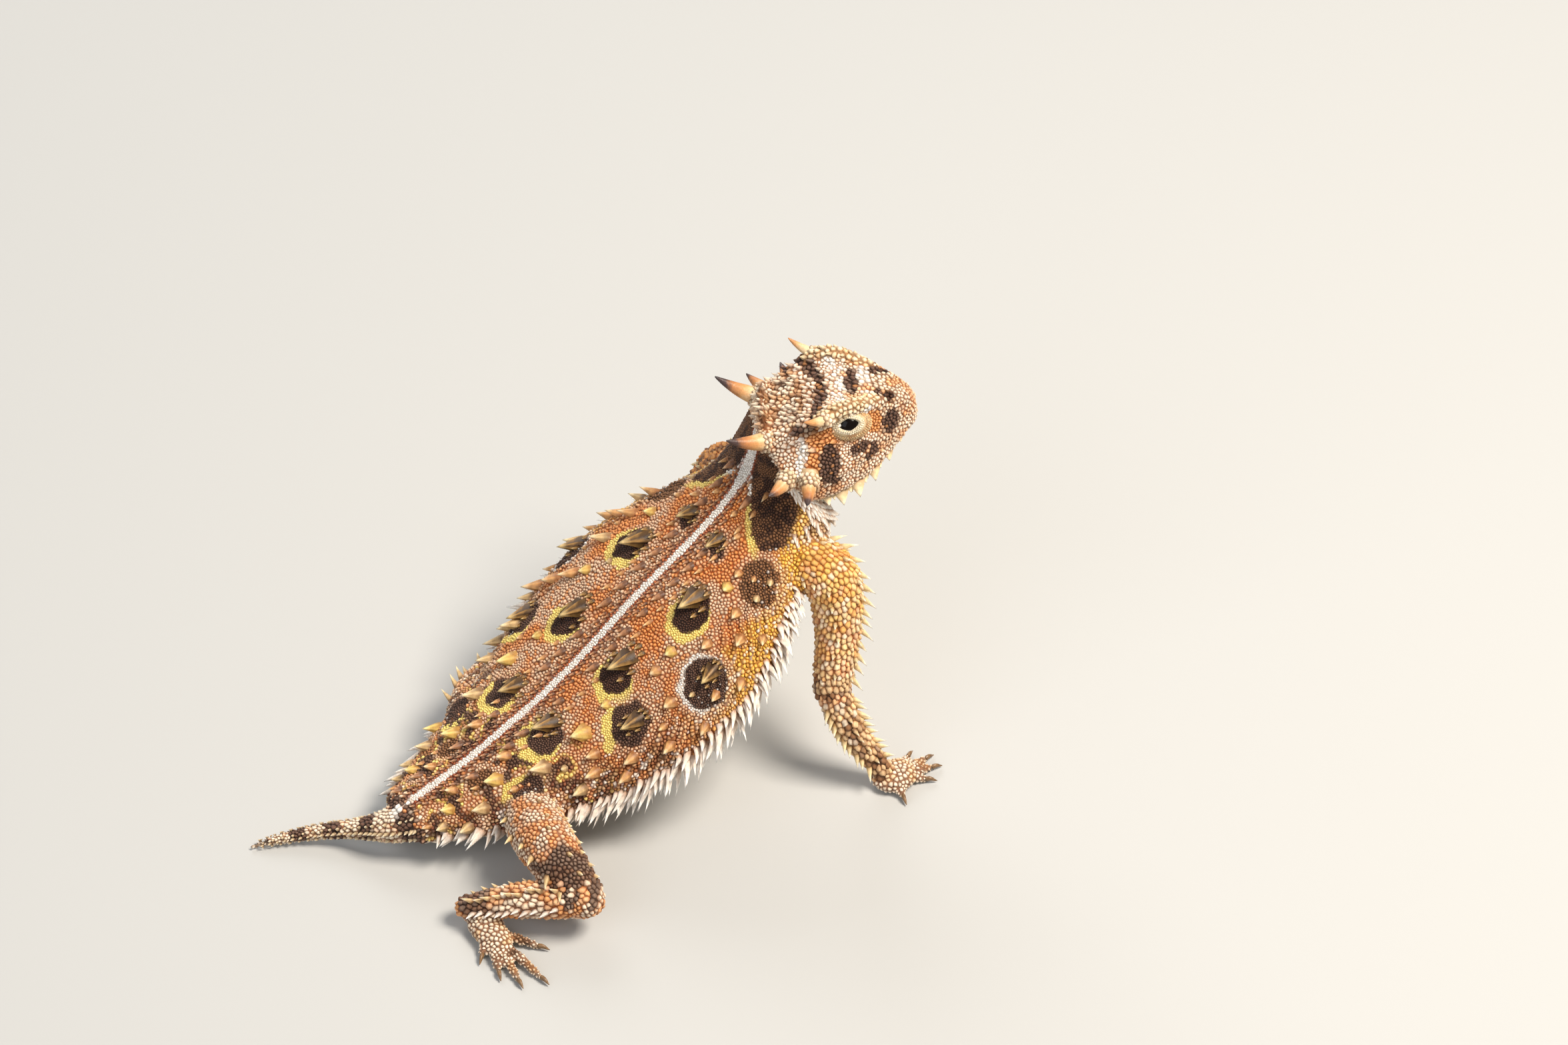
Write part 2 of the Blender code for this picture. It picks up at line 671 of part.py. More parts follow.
def floorBlock():
    mesh = bmesh.new()
    bmesh.ops.create_cube(mesh, size=1.0)
    mesh.transform(Matrix.Translation((0, 0, -10 * mm)) @ Matrix.Diagonal((0.3, 0.3, 20 * mm, 1.0)))
    return finishMesh("cut_floor", mesh)


def buildEyes():
    for side, word in ((1, "left"), (-1, "right")):
        centre = inHead((eyeCentre[0], eyeCentre[1] * side, eyeCentre[2]))
        eye = startPart(ball("eye_" + word, centre, [eyeRadius] * 3, headAxes(), 14, 9))
        finishPart(eye, "eye")


def buildHorns():
    for side, word in ((1, "left"), (-1, "right")):
        for name, horn in horns.items():
            finishPart(startPart(hornSolid(name + "_" + word, horn, side)), "horn")


def buildTail():
    rows = [(*middle, width, height) for middle, width, height in tailStations]
    stations = []
    for k in range((len(rows) - 1) * tailStepsPerStation + 1):
        x, y, z, width, height = smoothRow(rows, k / tailStepsPerStation)
        stations.append((place(x, y, z), width * mm, height * mm))
    rings = tubeRings(stations, tailSides, upward)
    for name, first, last in tailDivisions:
        chosen = [list(ring) for ring in rings[first:last + 1]]
        if first:
            ahead = (stations[first + 1][0] - stations[first - 1][0]).normalized()
            chosen[0] = [point + ahead * jointGap for point in chosen[0]]
        tail = startPart(loft(name, chosen))
        joinPieces(tail, tailSpines(stations, first, last))
        cutAway(tail, [floor, trunkEnd()] if not first else [floor])
        finishPart(tail, "tail")


def tailSpines(stations, first, last):
    # Spines along both edges of the tail, shorter towards its tip
    spines = []
    for k in range(tailSpineCount):
        reach = (k + 0.6) / tailSpineCount * (len(stations) - 3)
        if not first + 0.4 < reach < last - 0.4:
            continue
        near, far = stations[int(reach)], stations[int(reach) + 1]
        ahead = (far[0] - near[0]).normalized()
        across = upward.cross(ahead).normalized()
        middle = near[0].lerp(far[0], reach - int(reach))
        length = tailSpineLengths[0] + (tailSpineLengths[1] - tailSpineLengths[0]) * k / tailSpineCount
        for side in (1, -1):
            root = middle + across * (side * near[1] * 0.92) + upward * (near[2] * 0.3)
            spines.append(spine(root, across * side + ahead * 0.6 + upward * 0.2, length))
    return spines


def trunkEnd():
    back, belly, width = trunkFrame(0, jointGap)
    backAhead, bellyAhead, widthAhead = trunkFrame(1, jointGap)
    behind = (leftward.cross(belly - back)).normalized() * jointGap
    rings = [
        ovalRing(back + behind, belly + behind, leftward, width + 4 * mm, torsoSides),
        ovalRing(backAhead, bellyAhead, leftward, widthAhead + 4 * mm, torsoSides),
    ]
    return loft("cut_trunk_end", rings)


def limbSpines(marks, kind, side):
    spines = []
    rows = [(*point, radius) for point, radius in marks]
    for toward, count, length in limbSpineRows[kind]:
        toward = Vector((toward[0], toward[1] * side, toward[2]))
        for k in range(count):
            start, end = limbSpineRun
            t = (len(rows) - 1) * (start + (end - start) * (k + 0.5) / count)
            here = smoothRow(rows, t)
            beyond = smoothRow(rows, t + 0.05)
            ahead = (Vector(beyond[:3]) - Vector(here[:3])).normalized()
            out = (toward - ahead * toward.dot(ahead)).normalized()
            root = place(*here[:3]) + out * here[3] * 0.93 * mm
            spines.append(spine(root, out + ahead * 0.45, length))
    return spines


def buildSegment(name, marks, kind, hint, before):
    segment = startPart(roundedSegment(name, marks, limbSides, hint))
    joinPieces(segment, limbSpines(marks, kind, 1 if name.endswith("left") else -1))
    cutAway(segment, [trunk, floor] + before)
    finishPart(segment, kind)
    return roundedSegment("cut_" + name, marks, limbSides, hint, jointGap)


def digitPieces(palm, tips):
    # Toes from the palm to their tips, each arched a little and ending in a claw
    (x, y, z), radii = palm
    pieces = []
    for tipX, tipY in tips:
        root = place(x, y, z * 0.8)
        tip = place(tipX, tipY, digitRadius * 0.45)
        ahead = (tip - root).normalized()
        length = (tip - root).length
        claw = clawLength * mm
        wide = digitRadius * mm
        stations = [
            (root, wide, wide),
            (root + ahead * (length * 0.5) + upward * 0.25 * mm, wide * 0.95, wide * 0.95),
            (root + ahead * (length - claw), wide * 0.8, wide * 0.8),
            (tip - ahead * (claw * 0.65) + upward * 0.2 * mm, wide * 0.5, wide * 0.5),
            (tip, clawTipRadius * mm, clawTipRadius * mm),
        ]
        pieces.append(loft("digit", tubeRings(stations, digitSides, upward)))
    return pieces


def buildFoot(name, limb, kind, before):
    centre, radii = limb["palm"]
    foot = startPart(ball(name, place(*centre), radii, None, 12, 8))
    joinPieces(foot, digitPieces(limb["palm"], limb["digits"]))
    cutAway(foot, [floor, trunk] + before)
    finishPart(foot, kind)


def buildLimbs():
    for word, limb in foreLimbs.items():
        arm = buildSegment("upper_arm_" + word, limb["upper_arm"], "upper_arm", forward, [])
        fore = buildSegment("forearm_" + word, limb["forearm"], "forearm", forward, [arm])
        buildFoot("hand_" + word, limb, "hand", [fore])
    for word, limb in hindLimbs.items():
        thigh = buildSegment("thigh_" + word, limb["thigh"], "thigh", upward, [])
        shin = buildSegment("shin_" + word, limb["shin"], "shin", upward, [thigh])
        buildFoot("foot_" + word, limb, "foot", [shin, thigh])


dice = random.Random(spineSeed)
clearScene()
partCollection = newCollection("horned_lizard")
cutterCollection = newCollection("cutters")
bodyOrigin = bpy.data.objects.new("body_origin", None)
bodyOrigin.location = (-boxMiddleX, -boxMiddleY, 0.0)
partCollection.objects.link(bodyOrigin)
floor = floorBlock()
trunk = trunkCutter()
hornSockets = []
for hornName, hornShape in horns.items():
    for hornSide in (1, -1):
        hornSockets.append(hornSolid("cut_" + hornName, hornShape, hornSide, jointGap))

buildTorso()
buildNeck()
buildHead()
buildEyes()
buildHorns()
buildTail()
buildLimbs()
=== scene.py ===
import math
import random

import bmesh
import bpy
import numpy as np
from mathutils import Matrix, Vector, kdtree, noise


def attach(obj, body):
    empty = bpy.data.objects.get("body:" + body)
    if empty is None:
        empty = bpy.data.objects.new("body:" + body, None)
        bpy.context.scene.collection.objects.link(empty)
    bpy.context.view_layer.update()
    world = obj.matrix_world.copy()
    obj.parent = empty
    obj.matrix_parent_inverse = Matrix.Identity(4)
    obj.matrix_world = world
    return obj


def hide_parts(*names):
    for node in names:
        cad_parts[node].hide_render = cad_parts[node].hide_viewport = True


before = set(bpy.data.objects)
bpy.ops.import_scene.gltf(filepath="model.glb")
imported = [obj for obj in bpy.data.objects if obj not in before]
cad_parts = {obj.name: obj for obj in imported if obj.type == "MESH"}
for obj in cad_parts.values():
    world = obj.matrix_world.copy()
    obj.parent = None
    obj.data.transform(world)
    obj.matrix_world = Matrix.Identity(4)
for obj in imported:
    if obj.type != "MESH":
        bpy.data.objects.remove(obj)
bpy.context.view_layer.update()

mm = 0.001
bodyPlace = np.array((8.7, 1.8, 0.0))
upward = np.array((0.0, 0.0, 1.0))
forward = np.array((1.0, 0.0, 0.0))
leftward = np.array((0.0, 1.0, 0.0))
dice = random.Random(11)
chance = np.random.default_rng(11)


def inScene(points):
    return (np.asarray(points, dtype=float) + bodyPlace) * mm


def unit(v):
    v = np.asarray(v, dtype=float)
    return v / np.maximum(np.linalg.norm(v, axis=-1, keepdims=True), 1e-9)


def square(v, axis):
    # The part of each direction that is square to its axis
    return unit(v - axis * (v * axis).sum(axis=1, keepdims=True))


def mirrored(point, side):
    # A place or direction given for the left side (1), on the right (-1)
    return np.array(point, dtype=float) * (1, side, 1)


def ramp(value, low, high):
    # 0 below low, 1 above high, smooth between
    x = np.clip((np.asarray(value, dtype=float) - low) / (high - low), 0.0, 1.0)
    return x * x * (3 - 2 * x)


def grain(points, size, offset=0.0):
    # Smooth noise from about -1 to 1 with lumps of that many millimetres
    scaled = np.asarray(points) / size + offset
    return np.array([noise.noise(Vector(p)) for p in scaled])


def colour(code):
    # An sRGB hex colour as linear values
    channels = [int(code[k:k + 2], 16) / 255 for k in (0, 2, 4)]
    return np.array([c / 12.92 if c <= 0.04045 else ((c + 0.055) / 1.055) ** 2.4 for c in channels])


def smoothRow(rows, t):
    # A smooth curve through equal rows of numbers, one step of t from each row to the next
    k = min(max(int(t), 0), len(rows) - 2)
    f = t - k
    near, far = rows[k], rows[k + 1]
    before = rows[k - 1] if k > 0 else 2 * near - far
    after = rows[k + 2] if k + 2 < len(rows) else 2 * far - near
    squared = 2 * before - 5 * near + 4 * far - after
    cubed = 3 * near - before - 3 * far + after
    return 0.5 * (2 * near + (far - before) * f + squared * f ** 2 + cubed * f ** 3)


# The trunk and neck: back (x, z), belly (x, z) and half width at each station, tail to nape
trunk = {
    "stations": np.array((
        (-41.4, 8.3, -40.0, 2.4, 5.0),
        (-36.0, 9.9, -34.0, 1.9, 8.0),
        (-30.0, 11.8, -27.0, 1.7, 11.3),
        (-24.0, 14.6, -19.5, 2.4, 14.0),
        (-18.0, 17.5, -11.0, 4.1, 17.0),
        (-10.0, 22.6, -1.5, 8.3, 20.0),
        (-1.4, 29.1, 8.0, 13.8, 20.6),
        (5.7, 33.7, 15.3, 19.4, 18.4),
        (11.0, 37.3, 21.0, 24.6, 15.0),
        (15.0, 40.8, 26.4, 29.0, 11.6),
        (18.0, 44.6, 30.6, 35.2, 10.0),
    )),
    "sideLine": 0.42,
    "squareness": 0.85,
    "napeAtHead": (-2.5, 0.0, -0.9),
    "gulletAtHead": (4.4, 0.0, -13.3),
    "widthAtHead": 8.6,
    "end": 11.3,
    "grid": (90, 64),
    "notedRows": 107,
    "notedTurns": 90,
}

# The head in its own axes: forward, left and up from its place. Each section is a distance forward,
# then (out, up) at the crown, brow, under the brow, orbit, cheek, lip, mouth, lip, jaw and throat.
head = {
    "place": np.array((23.2, 1.0, 54.1)),
    "yaw": -26.5,
    "pitch": 6.5,
    "sections": (
        (-5.0, (0, -0.8), (4.6, -1.8), (5.8, -2.7), (6.6, -3.8), (8.4, -6.0),
         (8.6, -8.2), (8.5, -8.9), (8.3, -9.6), (6.8, -11.8), (0, -12.2)),
        (0.0, (0, -0.4), (5.6, -0.7), (6.7, -1.9), (7.5, -3.4), (10.0, -5.8),
         (9.9, -8.4), (9.8, -9.2), (9.6, -9.9), (8.2, -12.5), (0, -13.1)),
        (3.0, (0, 0.4), (7.0, 1.3), (7.4, -0.4), (8.1, -2.2), (10.9, -5.4),
         (10.4, -8.5), (10.3, -9.3), (10.1, -10.1), (9.0, -12.9), (0, -13.5)),
        (6.0, (0, 1.1), (8.2, 3.0), (7.2, 1.3), (7.4, -1.2), (10.5, -5.0),
         (10.1, -8.4), (9.6, -9.0), (10.0, -9.6), (9.3, -13.0), (0, -13.6)),
        (9.0, (0, 1.5), (8.4, 3.5), (6.9, 1.8), (6.8, -0.9), (9.1, -4.7),
         (9.2, -8.0), (8.4, -8.5), (9.1, -9.0), (8.7, -12.7), (0, -13.3)),
        (12.0, (0, 1.7), (7.5, 3.1), (6.2, 1.5), (6.1, -1.0), (7.5, -4.5),
         (7.8, -7.6), (7.0, -8.0), (7.7, -8.5), (7.4, -12.0), (0, -12.6)),
        (15.0, (0, 1.4), (5.3, 2.1), (4.9, 0.7), (5.0, -1.2), (5.6, -4.4),
         (5.7, -7.1), (5.0, -7.5), (5.6, -8.0), (5.1, -11.0), (0, -11.6)),
        (17.6, (0, 0.7), (3.2, 0.9), (3.3, -0.4), (3.5, -1.6), (3.8, -4.0),
         (3.8, -6.2), (3.2, -6.6), (3.6, -7.0), (2.8, -9.3), (0, -9.8)),
        (19.7, (0, -0.7), (2.0, -0.8), (2.2, -1.6), (2.3, -2.4), (2.5, -3.9),
         (2.4, -5.6), (2.0, -6.0), (2.2, -6.3), (1.5, -7.6), (0, -8.0)),
        (21.0, (0, -2.2), (1.0, -2.3), (1.3, -2.7), (1.4, -3.1), (1.6, -3.9),
         (1.6, -5.0), (1.4, -5.3), (1.4, -5.6), (0.9, -6.4), (0, -6.6)),
    ),
    "nostril": (17.0, 2.7, 0.6),
    "length": 21.0,
    "axisDepth": 6.0,
    "unwrapFrom": -5.0,
    "unwrapLength": 27.0,
}
headTurn = np.array(
    Matrix.Rotation(math.radians(head["yaw"]), 3, "Z")
    @ Matrix.Rotation(math.radians(-head["pitch"]), 3, "Y")
)


def inHead(point):
    return head["place"] + headTurn @ np.asarray(point, dtype=float)


def headPlaces(points):
    return (np.asarray(points) - head["place"]) @ headTurn


def trunkFrame(t):
    # Top, bottom, sideways direction and half width of the trunk or neck at a station
    rows = trunk["stations"]
    last = len(rows) - 1
    backX, backZ, bellyX, bellyZ, width = smoothRow(rows, min(t, last))
    back = np.array((backX, 0.0, backZ))
    belly = np.array((bellyX, 0.0, bellyZ))
    if t <= last:
        return back, belly, leftward, width
    share = t - last
    back = back + (inHead(trunk["napeAtHead"]) - back) * share
    belly = belly + (inHead(trunk["gulletAtHead"]) - belly) * share
    side = unit(leftward + (headTurn @ leftward - leftward) * share)
    return back, belly, side, width + (trunk["widthAtHead"] - width) * share


def trunkPoint(t, angle, grow=0.0):
    # The angle is in degrees from the middle of the back, positive to the left
    back, belly, side, width = trunkFrame(t)
    rise = unit(back - belly) * grow
    back, belly, width = back + rise, belly - rise, width + grow
    lift = math.cos(math.radians(angle))
    across = math.sin(math.radians(angle))
    out = math.copysign(abs(across) ** trunk["squareness"], across)
    part = (1 - trunk["sideLine"]) * lift if lift > 0 else trunk["sideLine"] * lift
    return belly + (back - belly) * (trunk["sideLine"] + part) + side * (out * width)


def trunkAxes(t, angle):
    # Directions on the trunk's surface: headward, round towards the belly, and outward
    here = trunkPoint(t, angle)
    along = unit(trunkPoint(t + 0.05, angle) - here)
    around = unit(trunkPoint(t, angle + 2.0) - here)
    outward = unit(np.cross(along, around))
    return along, unit(np.cross(outward, along)), outward


# Limbs: each segment's places with the radius there. Palms: middle and radii. Digits: their tips.
limbs = {
    "fore_right": {
        "upper": ((20.5, -7.0, 33.0, 4.6), (24.0, -13.6, 31.0, 4.4), (23.2, -17.0, 24.0, 3.5),
                  (20.4, -19.8, 15.6, 2.8)),
        "lower": ((20.4, -19.8, 15.6, 2.6), (21.4, -23.0, 9.6, 2.45), (24.2, -27.0, 3.4, 1.75)),
        "palm": ((26.2, -28.0, 1.3), (3.6, 3.1, 1.5)),
        "digits": ((31.9, -24.5), (34.0, -26.9), (33.8, -29.4), (31.4, -31.6), (24.8, -33.3)),
    },
    "fore_left": {
        "upper": ((20.5, 7.0, 33.0, 4.6), (24.0, 13.6, 31.0, 4.4), (22.2, 17.2, 24.0, 3.5),
                  (18.4, 20.2, 15.6, 2.8)),
        "lower": ((18.4, 20.2, 15.6, 2.6), (19.4, 22.6, 9.6, 2.45), (21.6, 25.4, 3.4, 1.75)),
        "palm": ((23.6, 26.4, 1.3), (3.6, 3.1, 1.5)),
        "digits": ((29.3, 22.9), (31.4, 25.3), (31.2, 27.8), (28.8, 30.0), (22.2, 31.7)),
    },
    "hind_right": {
        "upper": ((-24.5, -8.0, 6.6, 4.2), (-27.4, -15.5, 8.4, 4.5), (-28.4, -22.0, 8.8, 4.1),
                  (-27.9, -28.6, 6.2, 3.1)),
        "lower": ((-27.9, -28.6, 6.2, 2.9), (-35.2, -22.6, 4.9, 2.7), (-41.4, -18.0, 3.0, 1.8)),
        "palm": ((-40.4, -22.4, 1.4), (2.5, 5.0, 1.7)),
        "digits": ((-44.6, -26.6), (-43.8, -31.0), (-41.9, -34.0), (-38.4, -35.4), (-34.6, -29.6)),
    },
    "hind_left": {
        "upper": ((-24.0, 7.0, 8.4, 4.6), (-20.2, 12.2, 7.8, 4.4), (-15.8, 15.6, 7.2, 3.8),
                  (-11.2, 17.8, 6.2, 3.0)),
        "lower": ((-11.2, 17.8, 6.2, 2.8), (-18.0, 14.8, 4.4, 2.5), (-24.6, 12.0, 2.9, 1.8)),
        "palm": ((-20.6, 12.2, 1.4), (5.0, 2.5, 1.7)),
        "digits": ((-16.0, 8.6), (-11.4, 9.2), (-8.2, 11.0), (-6.8, 14.4), (-13.4, 18.0)),
    },
}

# The tail: middle, half width and half height at each station
tail = {
    "stations": np.array((
        (-38.6, -0.2, 5.9, 5.0, 3.3),
        (-40.2, 0.0, 5.4, 4.5, 2.9),
        (-42.6, 0.8, 4.6, 3.1, 2.4),
        (-44.9, 2.8, 3.5, 2.05, 1.85),
        (-47.6, 5.4, 2.4, 1.5, 1.45),
        (-51.0, 7.8, 1.65, 1.25, 1.2),
        (-55.6, 10.0, 1.0, 0.95, 0.95),
        (-60.4, 11.5, 0.45, 0.4, 0.4),
    )),
    "bandSpacing": 5.4,
}
tailSteps = np.linalg.norm(np.diff(tail["stations"][:, :3], axis=0), axis=1)
tail["toTip"] = np.append(np.cumsum(tailSteps[::-1])[::-1], 0)

# The skin lies under the coat of scales. The gaps keep skin, scales and claws off the floor.
skin = {
    "coatDepth": 0.3,
    "voxel": 0.42,
    "smoothing": 5,
    "digitRadius": 0.85,
    "clawLength": 1.6,
    "floorGap": 0.05,
    "scaleGap": 0.03,
    "clawGap": 0.02,
}

partNames = ("trunk", "head", "tail", "upper", "lower", "palm", "digit")
partNumber = {name: k for k, name in enumerate(partNames)}
noted = ("part", "hind", "left", "along", "angle", "points", "flow")
atlas = {name: [] for name in noted}
nearPlaces = 4


def note(part, *others):
    # Keeps a place on the body, so that each part of the skin knows where on the animal it is
    for name, value in zip(noted, (partNumber[part], *others)):
        atlas[name].append(value)


def wrapped(mesh, surface, along, around):
    # A grid folded round into a closed tube: surface gives the place at (0..1 along, degrees round)
    made = bmesh.ops.create_grid(mesh, x_segments=around, y_segments=along, size=1.0)["verts"]
    for vertex in made:
        vertex.co = inScene(surface((vertex.co.y + 1) / 2, (vertex.co.x + 1) * 180.0))
    bmesh.ops.remove_doubles(mesh, verts=made, dist=0.000001)
    made = [vertex for vertex in made if vertex.is_valid]
    rims = [edge for edge in {e for v in made for e in v.link_edges} if edge.is_boundary]
    faces = bmesh.ops.holes_fill(mesh, edges=rims, sides=0)["faces"]
    return made, faces


def tube(stations, hint):
    # The surface of a smooth tube: each station is x, y, z, half width and half height
    rows = np.asarray(stations, dtype=float)
    last = len(rows) - 1

    def surface(share, angle, grow=0.0):
        t = share * last
        here = smoothRow(rows, t)
        ahead = unit(smoothRow(rows, min(t + 0.1, last))[:3] - smoothRow(rows, max(t - 0.1, 0))[:3])
        across = unit(np.cross(hint, ahead))
        over = np.cross(ahead, across)
        turn = math.radians(angle)
        wide = across * (math.cos(turn) * max(here[3] + grow, 0.03))
        high = over * (math.sin(turn) * max(here[4] + grow, 0.03))
        return here[:3] + wide + high

    return surface


def rounded(marks):
    # A segment's marks with a dome past each end
    rows = np.asarray([(*mark[:3], mark[3], mark[3]) for mark in marks], dtype=float)
    first = unit(rows[0][:3] - rows[1][:3])
    last = unit(rows[-1][:3] - rows[-2][:3])
    extra = []
    for end, way in ((rows[0], first), (rows[-1], last)):
        for reach, width in ((0.6, 0.72), (0.85, 0.3)):
            extra.append((*(end[:3] + way * end[3] * reach), end[3] * width, end[3] * width))
    return np.vstack([extra[1], extra[0], rows, extra[2], extra[3]])


def noteSurface(part, hind, left, surface, along, around):
    for i in range(along + 1):
        share = i / along
        for j in range(around):
            angle = 360.0 * j / around - 180.0
            flow = surface(min(share + 0.02, 1.0), angle) - surface(max(share - 0.02, 0.0), angle)
            note(part, hind, left, share, angle, surface(share, angle), unit(flow))


def buildHeadForm():
    # The head's cage with its details smoothed in, cut along the slanting face at its rear
    sections = head["sections"]
    count = 2 * (len(sections[0]) - 1) - 2

    def cage(share, angle):
        row = sections[round(share * (len(sections) - 1))]
        k = round(angle / 360.0 * count) % count
        marks = row[1:]
        out, up = marks[k] if k < len(marks) else (-marks[count - k][0], marks[count - k][1])
        return inHead((row[0], out, up))

    mesh = bmesh.new()
    wrapped(mesh, cage, len(sections) - 1, count)
    bmesh.ops.recalc_face_normals(mesh, faces=mesh.faces)
    form = objectFrom("head_form", mesh)
    subdivision = form.modifiers.new("Subdivision", "SUBSURF")
    subdivision.levels = subdivision.render_levels = 3
    mesh = bmesh.new()
    mesh.from_mesh(evaluated(form))
    bpy.data.objects.remove(form)
    for vertex in mesh.verts:
        vertex.co -= vertex.normal * (skin["coatDepth"] * mm)
    top = inHead(trunk["napeAtHead"])
    bottom = inHead(trunk["gulletAtHead"])
    rear = unit(np.cross(headTurn @ leftward, bottom - top))
    everything = mesh.verts[:] + mesh.edges[:] + mesh.faces[:]
    bmesh.ops.bisect_plane(mesh, geom=everything, plane_co=Vector(inScene(top)),
                           plane_no=Vector(rear), clear_outer=True)
    bmesh.ops.holes_fill(mesh, edges=[edge for edge in mesh.edges if edge.is_boundary], sides=0)
    backward = headTurn @ -forward
    for vertex in mesh.verts:
        here = np.array(vertex.co) / mm - bodyPlace
        f, out, up = headPlaces(here)
        angle = math.degrees(math.atan2(out, up + head["axisDepth"]))
        note("head", 0, out > 0, f / head["length"], angle, here, backward)
    return mesh


def addObject(name, data):
    thing = bpy.data.objects.new(name, data)
    bpy.context.scene.collection.objects.link(thing)
    return thing


def objectFrom(name, mesh):
    data = bpy.data.meshes.new(name)
    mesh.to_mesh(data)
    mesh.free()
    return addObject(name, data)


def evaluated(thing):
    bpy.context.view_layer.update()
    seen = thing.evaluated_get(bpy.context.evaluated_depsgraph_get())
    return bpy.data.meshes.new_from_object(seen)


def digitPath(palm, tip):
    # Toe stations from the palm to the root of the claw, with knuckles
    x, y, z = palm[0]
    root = np.array((x, y, z * 0.8))
    tip = np.array((*tip, skin["digitRadius"] * 0.45))
    ahead = unit(tip - root)
    length = np.linalg.norm(tip - root) - skin["clawLength"] * 0.9
    stations = []
    for share, width in ((0, 1.0), (0.3, 1.0), (0.45, 0.86), (0.6, 0.98), (0.74, 0.8),
                         (0.86, 0.86), (1, 0.5)):
        rise = upward * 0.3 * math.sin(math.pi * share)
        radius = skin["digitRadius"] * width
        stations.append((*(root + ahead * length * share + rise), radius, radius))
    return stations, ahead, tip


# The ridge over each eye, in head axes on the left side: forward, out, up and radius
browRidge = ((5.6, 6.9, 1.4, 0.7), (7.4, 6.7, 2.1, 0.95), (9.0, 6.3, 2.45, 1.0),
             (10.6, 5.7, 2.45, 1.0), (12.2, 5.1, 2.05, 0.9), (13.8, 4.4, 1.45, 0.75),
             (15.4, 3.6, 0.9, 0.55))


def buildSkinForms():
    mesh = bmesh.new()
    for side in (1, -1):
        rows = [(*inHead(mirrored(row[:3], side)), row[3], row[3]) for row in browRidge]
        wrapped(mesh, tube(rounded(rows), headTurn @ upward), 30, 16)
    depth = -skin["coatDepth"]

    def trunkSurface(share, angle):
        return trunkPoint(share * trunk["end"], angle - 180.0, depth)

    wrapped(mesh, trunkSurface, *trunk["grid"])
    for i in range(trunk["notedRows"]):
        for j in range(trunk["notedTurns"]):
            t, angle = i * 0.1, j * 360.0 / trunk["notedTurns"] - 180.0
            flow = unit(trunkPoint(max(t - 0.1, 0), angle) - trunkPoint(t + 0.1, angle))
            note("trunk", 0, angle > 0, t, angle, trunkPoint(t, angle), flow)

    def add(part, hind, left, surface, inset, grid, notes):
        wrapped(mesh, lambda share, angle: surface(share, angle, inset), *grid)
        noteSurface(part, hind, left, surface, *notes)

    add("tail", 0, False, tube(tail["stations"], upward), depth * 0.8, (60, 20), (60, 16))
    for name, limb in limbs.items():
        hind, left = name.startswith("hind"), name.endswith("left")
        for part in ("upper", "lower"):
            surface = tube(rounded(limb[part]), upward if hind else forward)
            add(part, hind, left, surface, depth, (34, 24), (30, 20))
        middle, radii = limb["palm"]
        size = Matrix.Diagonal((*[(r + depth * 0.5) * mm for r in radii], 1.0))
        bmesh.ops.create_uvsphere(mesh, u_segments=24, v_segments=16, radius=1.0,
                                  matrix=Matrix.Translation(inScene(middle)) @ size)
        flow = unit(np.array((*np.mean(limb["digits"], axis=0), middle[2])) - np.array(middle))
        for i in range(1, 12):
            for j in range(20):
                a, b = math.pi * i / 12, 2 * math.pi * j / 20
                way = np.array((math.sin(a) * math.cos(b), math.sin(a) * math.sin(b), math.cos(a)))
                note("palm", hind, left, 0.5, math.degrees(b), np.array(middle) + way * radii, flow)
        for tip in limb["digits"]:
            surface = tube(digitPath(limb["palm"], tip)[0], upward)
            add("digit", hind, left, surface, -0.12, (24, 14), (16, 8))
    return mesh


def buildSkin():
    mesh = buildSkinForms()
    print("trunk, tail and limb forms")
    headMesh = buildHeadForm()
    held = bpy.data.meshes.new("head_held")
    headMesh.to_mesh(held)
    headMesh.free()
    mesh.from_mesh(held)
    bpy.data.meshes.remove(held)
    bmesh.ops.recalc_face_normals(mesh, faces=mesh.faces)
    thing = objectFrom("skin", mesh)
    remesh = thing.modifiers.new("Remesh", "REMESH")
    remesh.mode = "VOXEL"
    remesh.voxel_size = skin["voxel"] * mm
    smooth = thing.modifiers.new("Smooth", "SMOOTH")
    smooth.factor = 0.5
    smooth.iterations = skin["smoothing"]
    data = evaluated(thing)
    thing.modifiers.clear()
    thing.data = data
    foldSkin(data)
    return thing


# Loose folds of skin on the flanks: height and spacing (in stations), and how deep the nostrils are
folds = {"height": 0.24, "spacing": 0.3, "slant": 26.0, "nostrilDepth": 0.7, "nostrilRadius": 0.62}


def foldPhase(along, degrees, places):
    # Counts the folds from the rear, wandering a little
    return (along + degrees / folds["slant"] + 0.25 * grain(places, 5.0, 7.0)) / folds["spacing"]


def foldSkin(data):
    places, outward = meshArrays(data)
    where = lookUp(places)
    degrees, along = np.abs(where["angle"]), where["along"]
    onTrunk = where["part"] == partNumber["trunk"]
    loose = onTrunk * ramp(degrees, 34, 48) * ramp(-degrees, -98, -84)
    loose = loose * ramp(along, 3.4, 4.8) * ramp(-along, -8.9, -8.0)
    shift = loose * np.sin(2 * math.pi * foldPhase(along, degrees, places)) * folds["height"]
    local = headPlaces(places)
    for side in (1, -1):
        gap = np.linalg.norm(local - mirrored(head["nostril"], side), axis=1)
        shift = shift - folds["nostrilDepth"] * ramp(-gap, -folds["nostrilRadius"], -0.2)
    places = places + outward * shift[:, None]
    places[:, 2] = np.maximum(places[:, 2], skin["floorGap"])
    data.vertices.foreach_set("co", inScene(places).astype(np.float32).ravel())
    data.update()


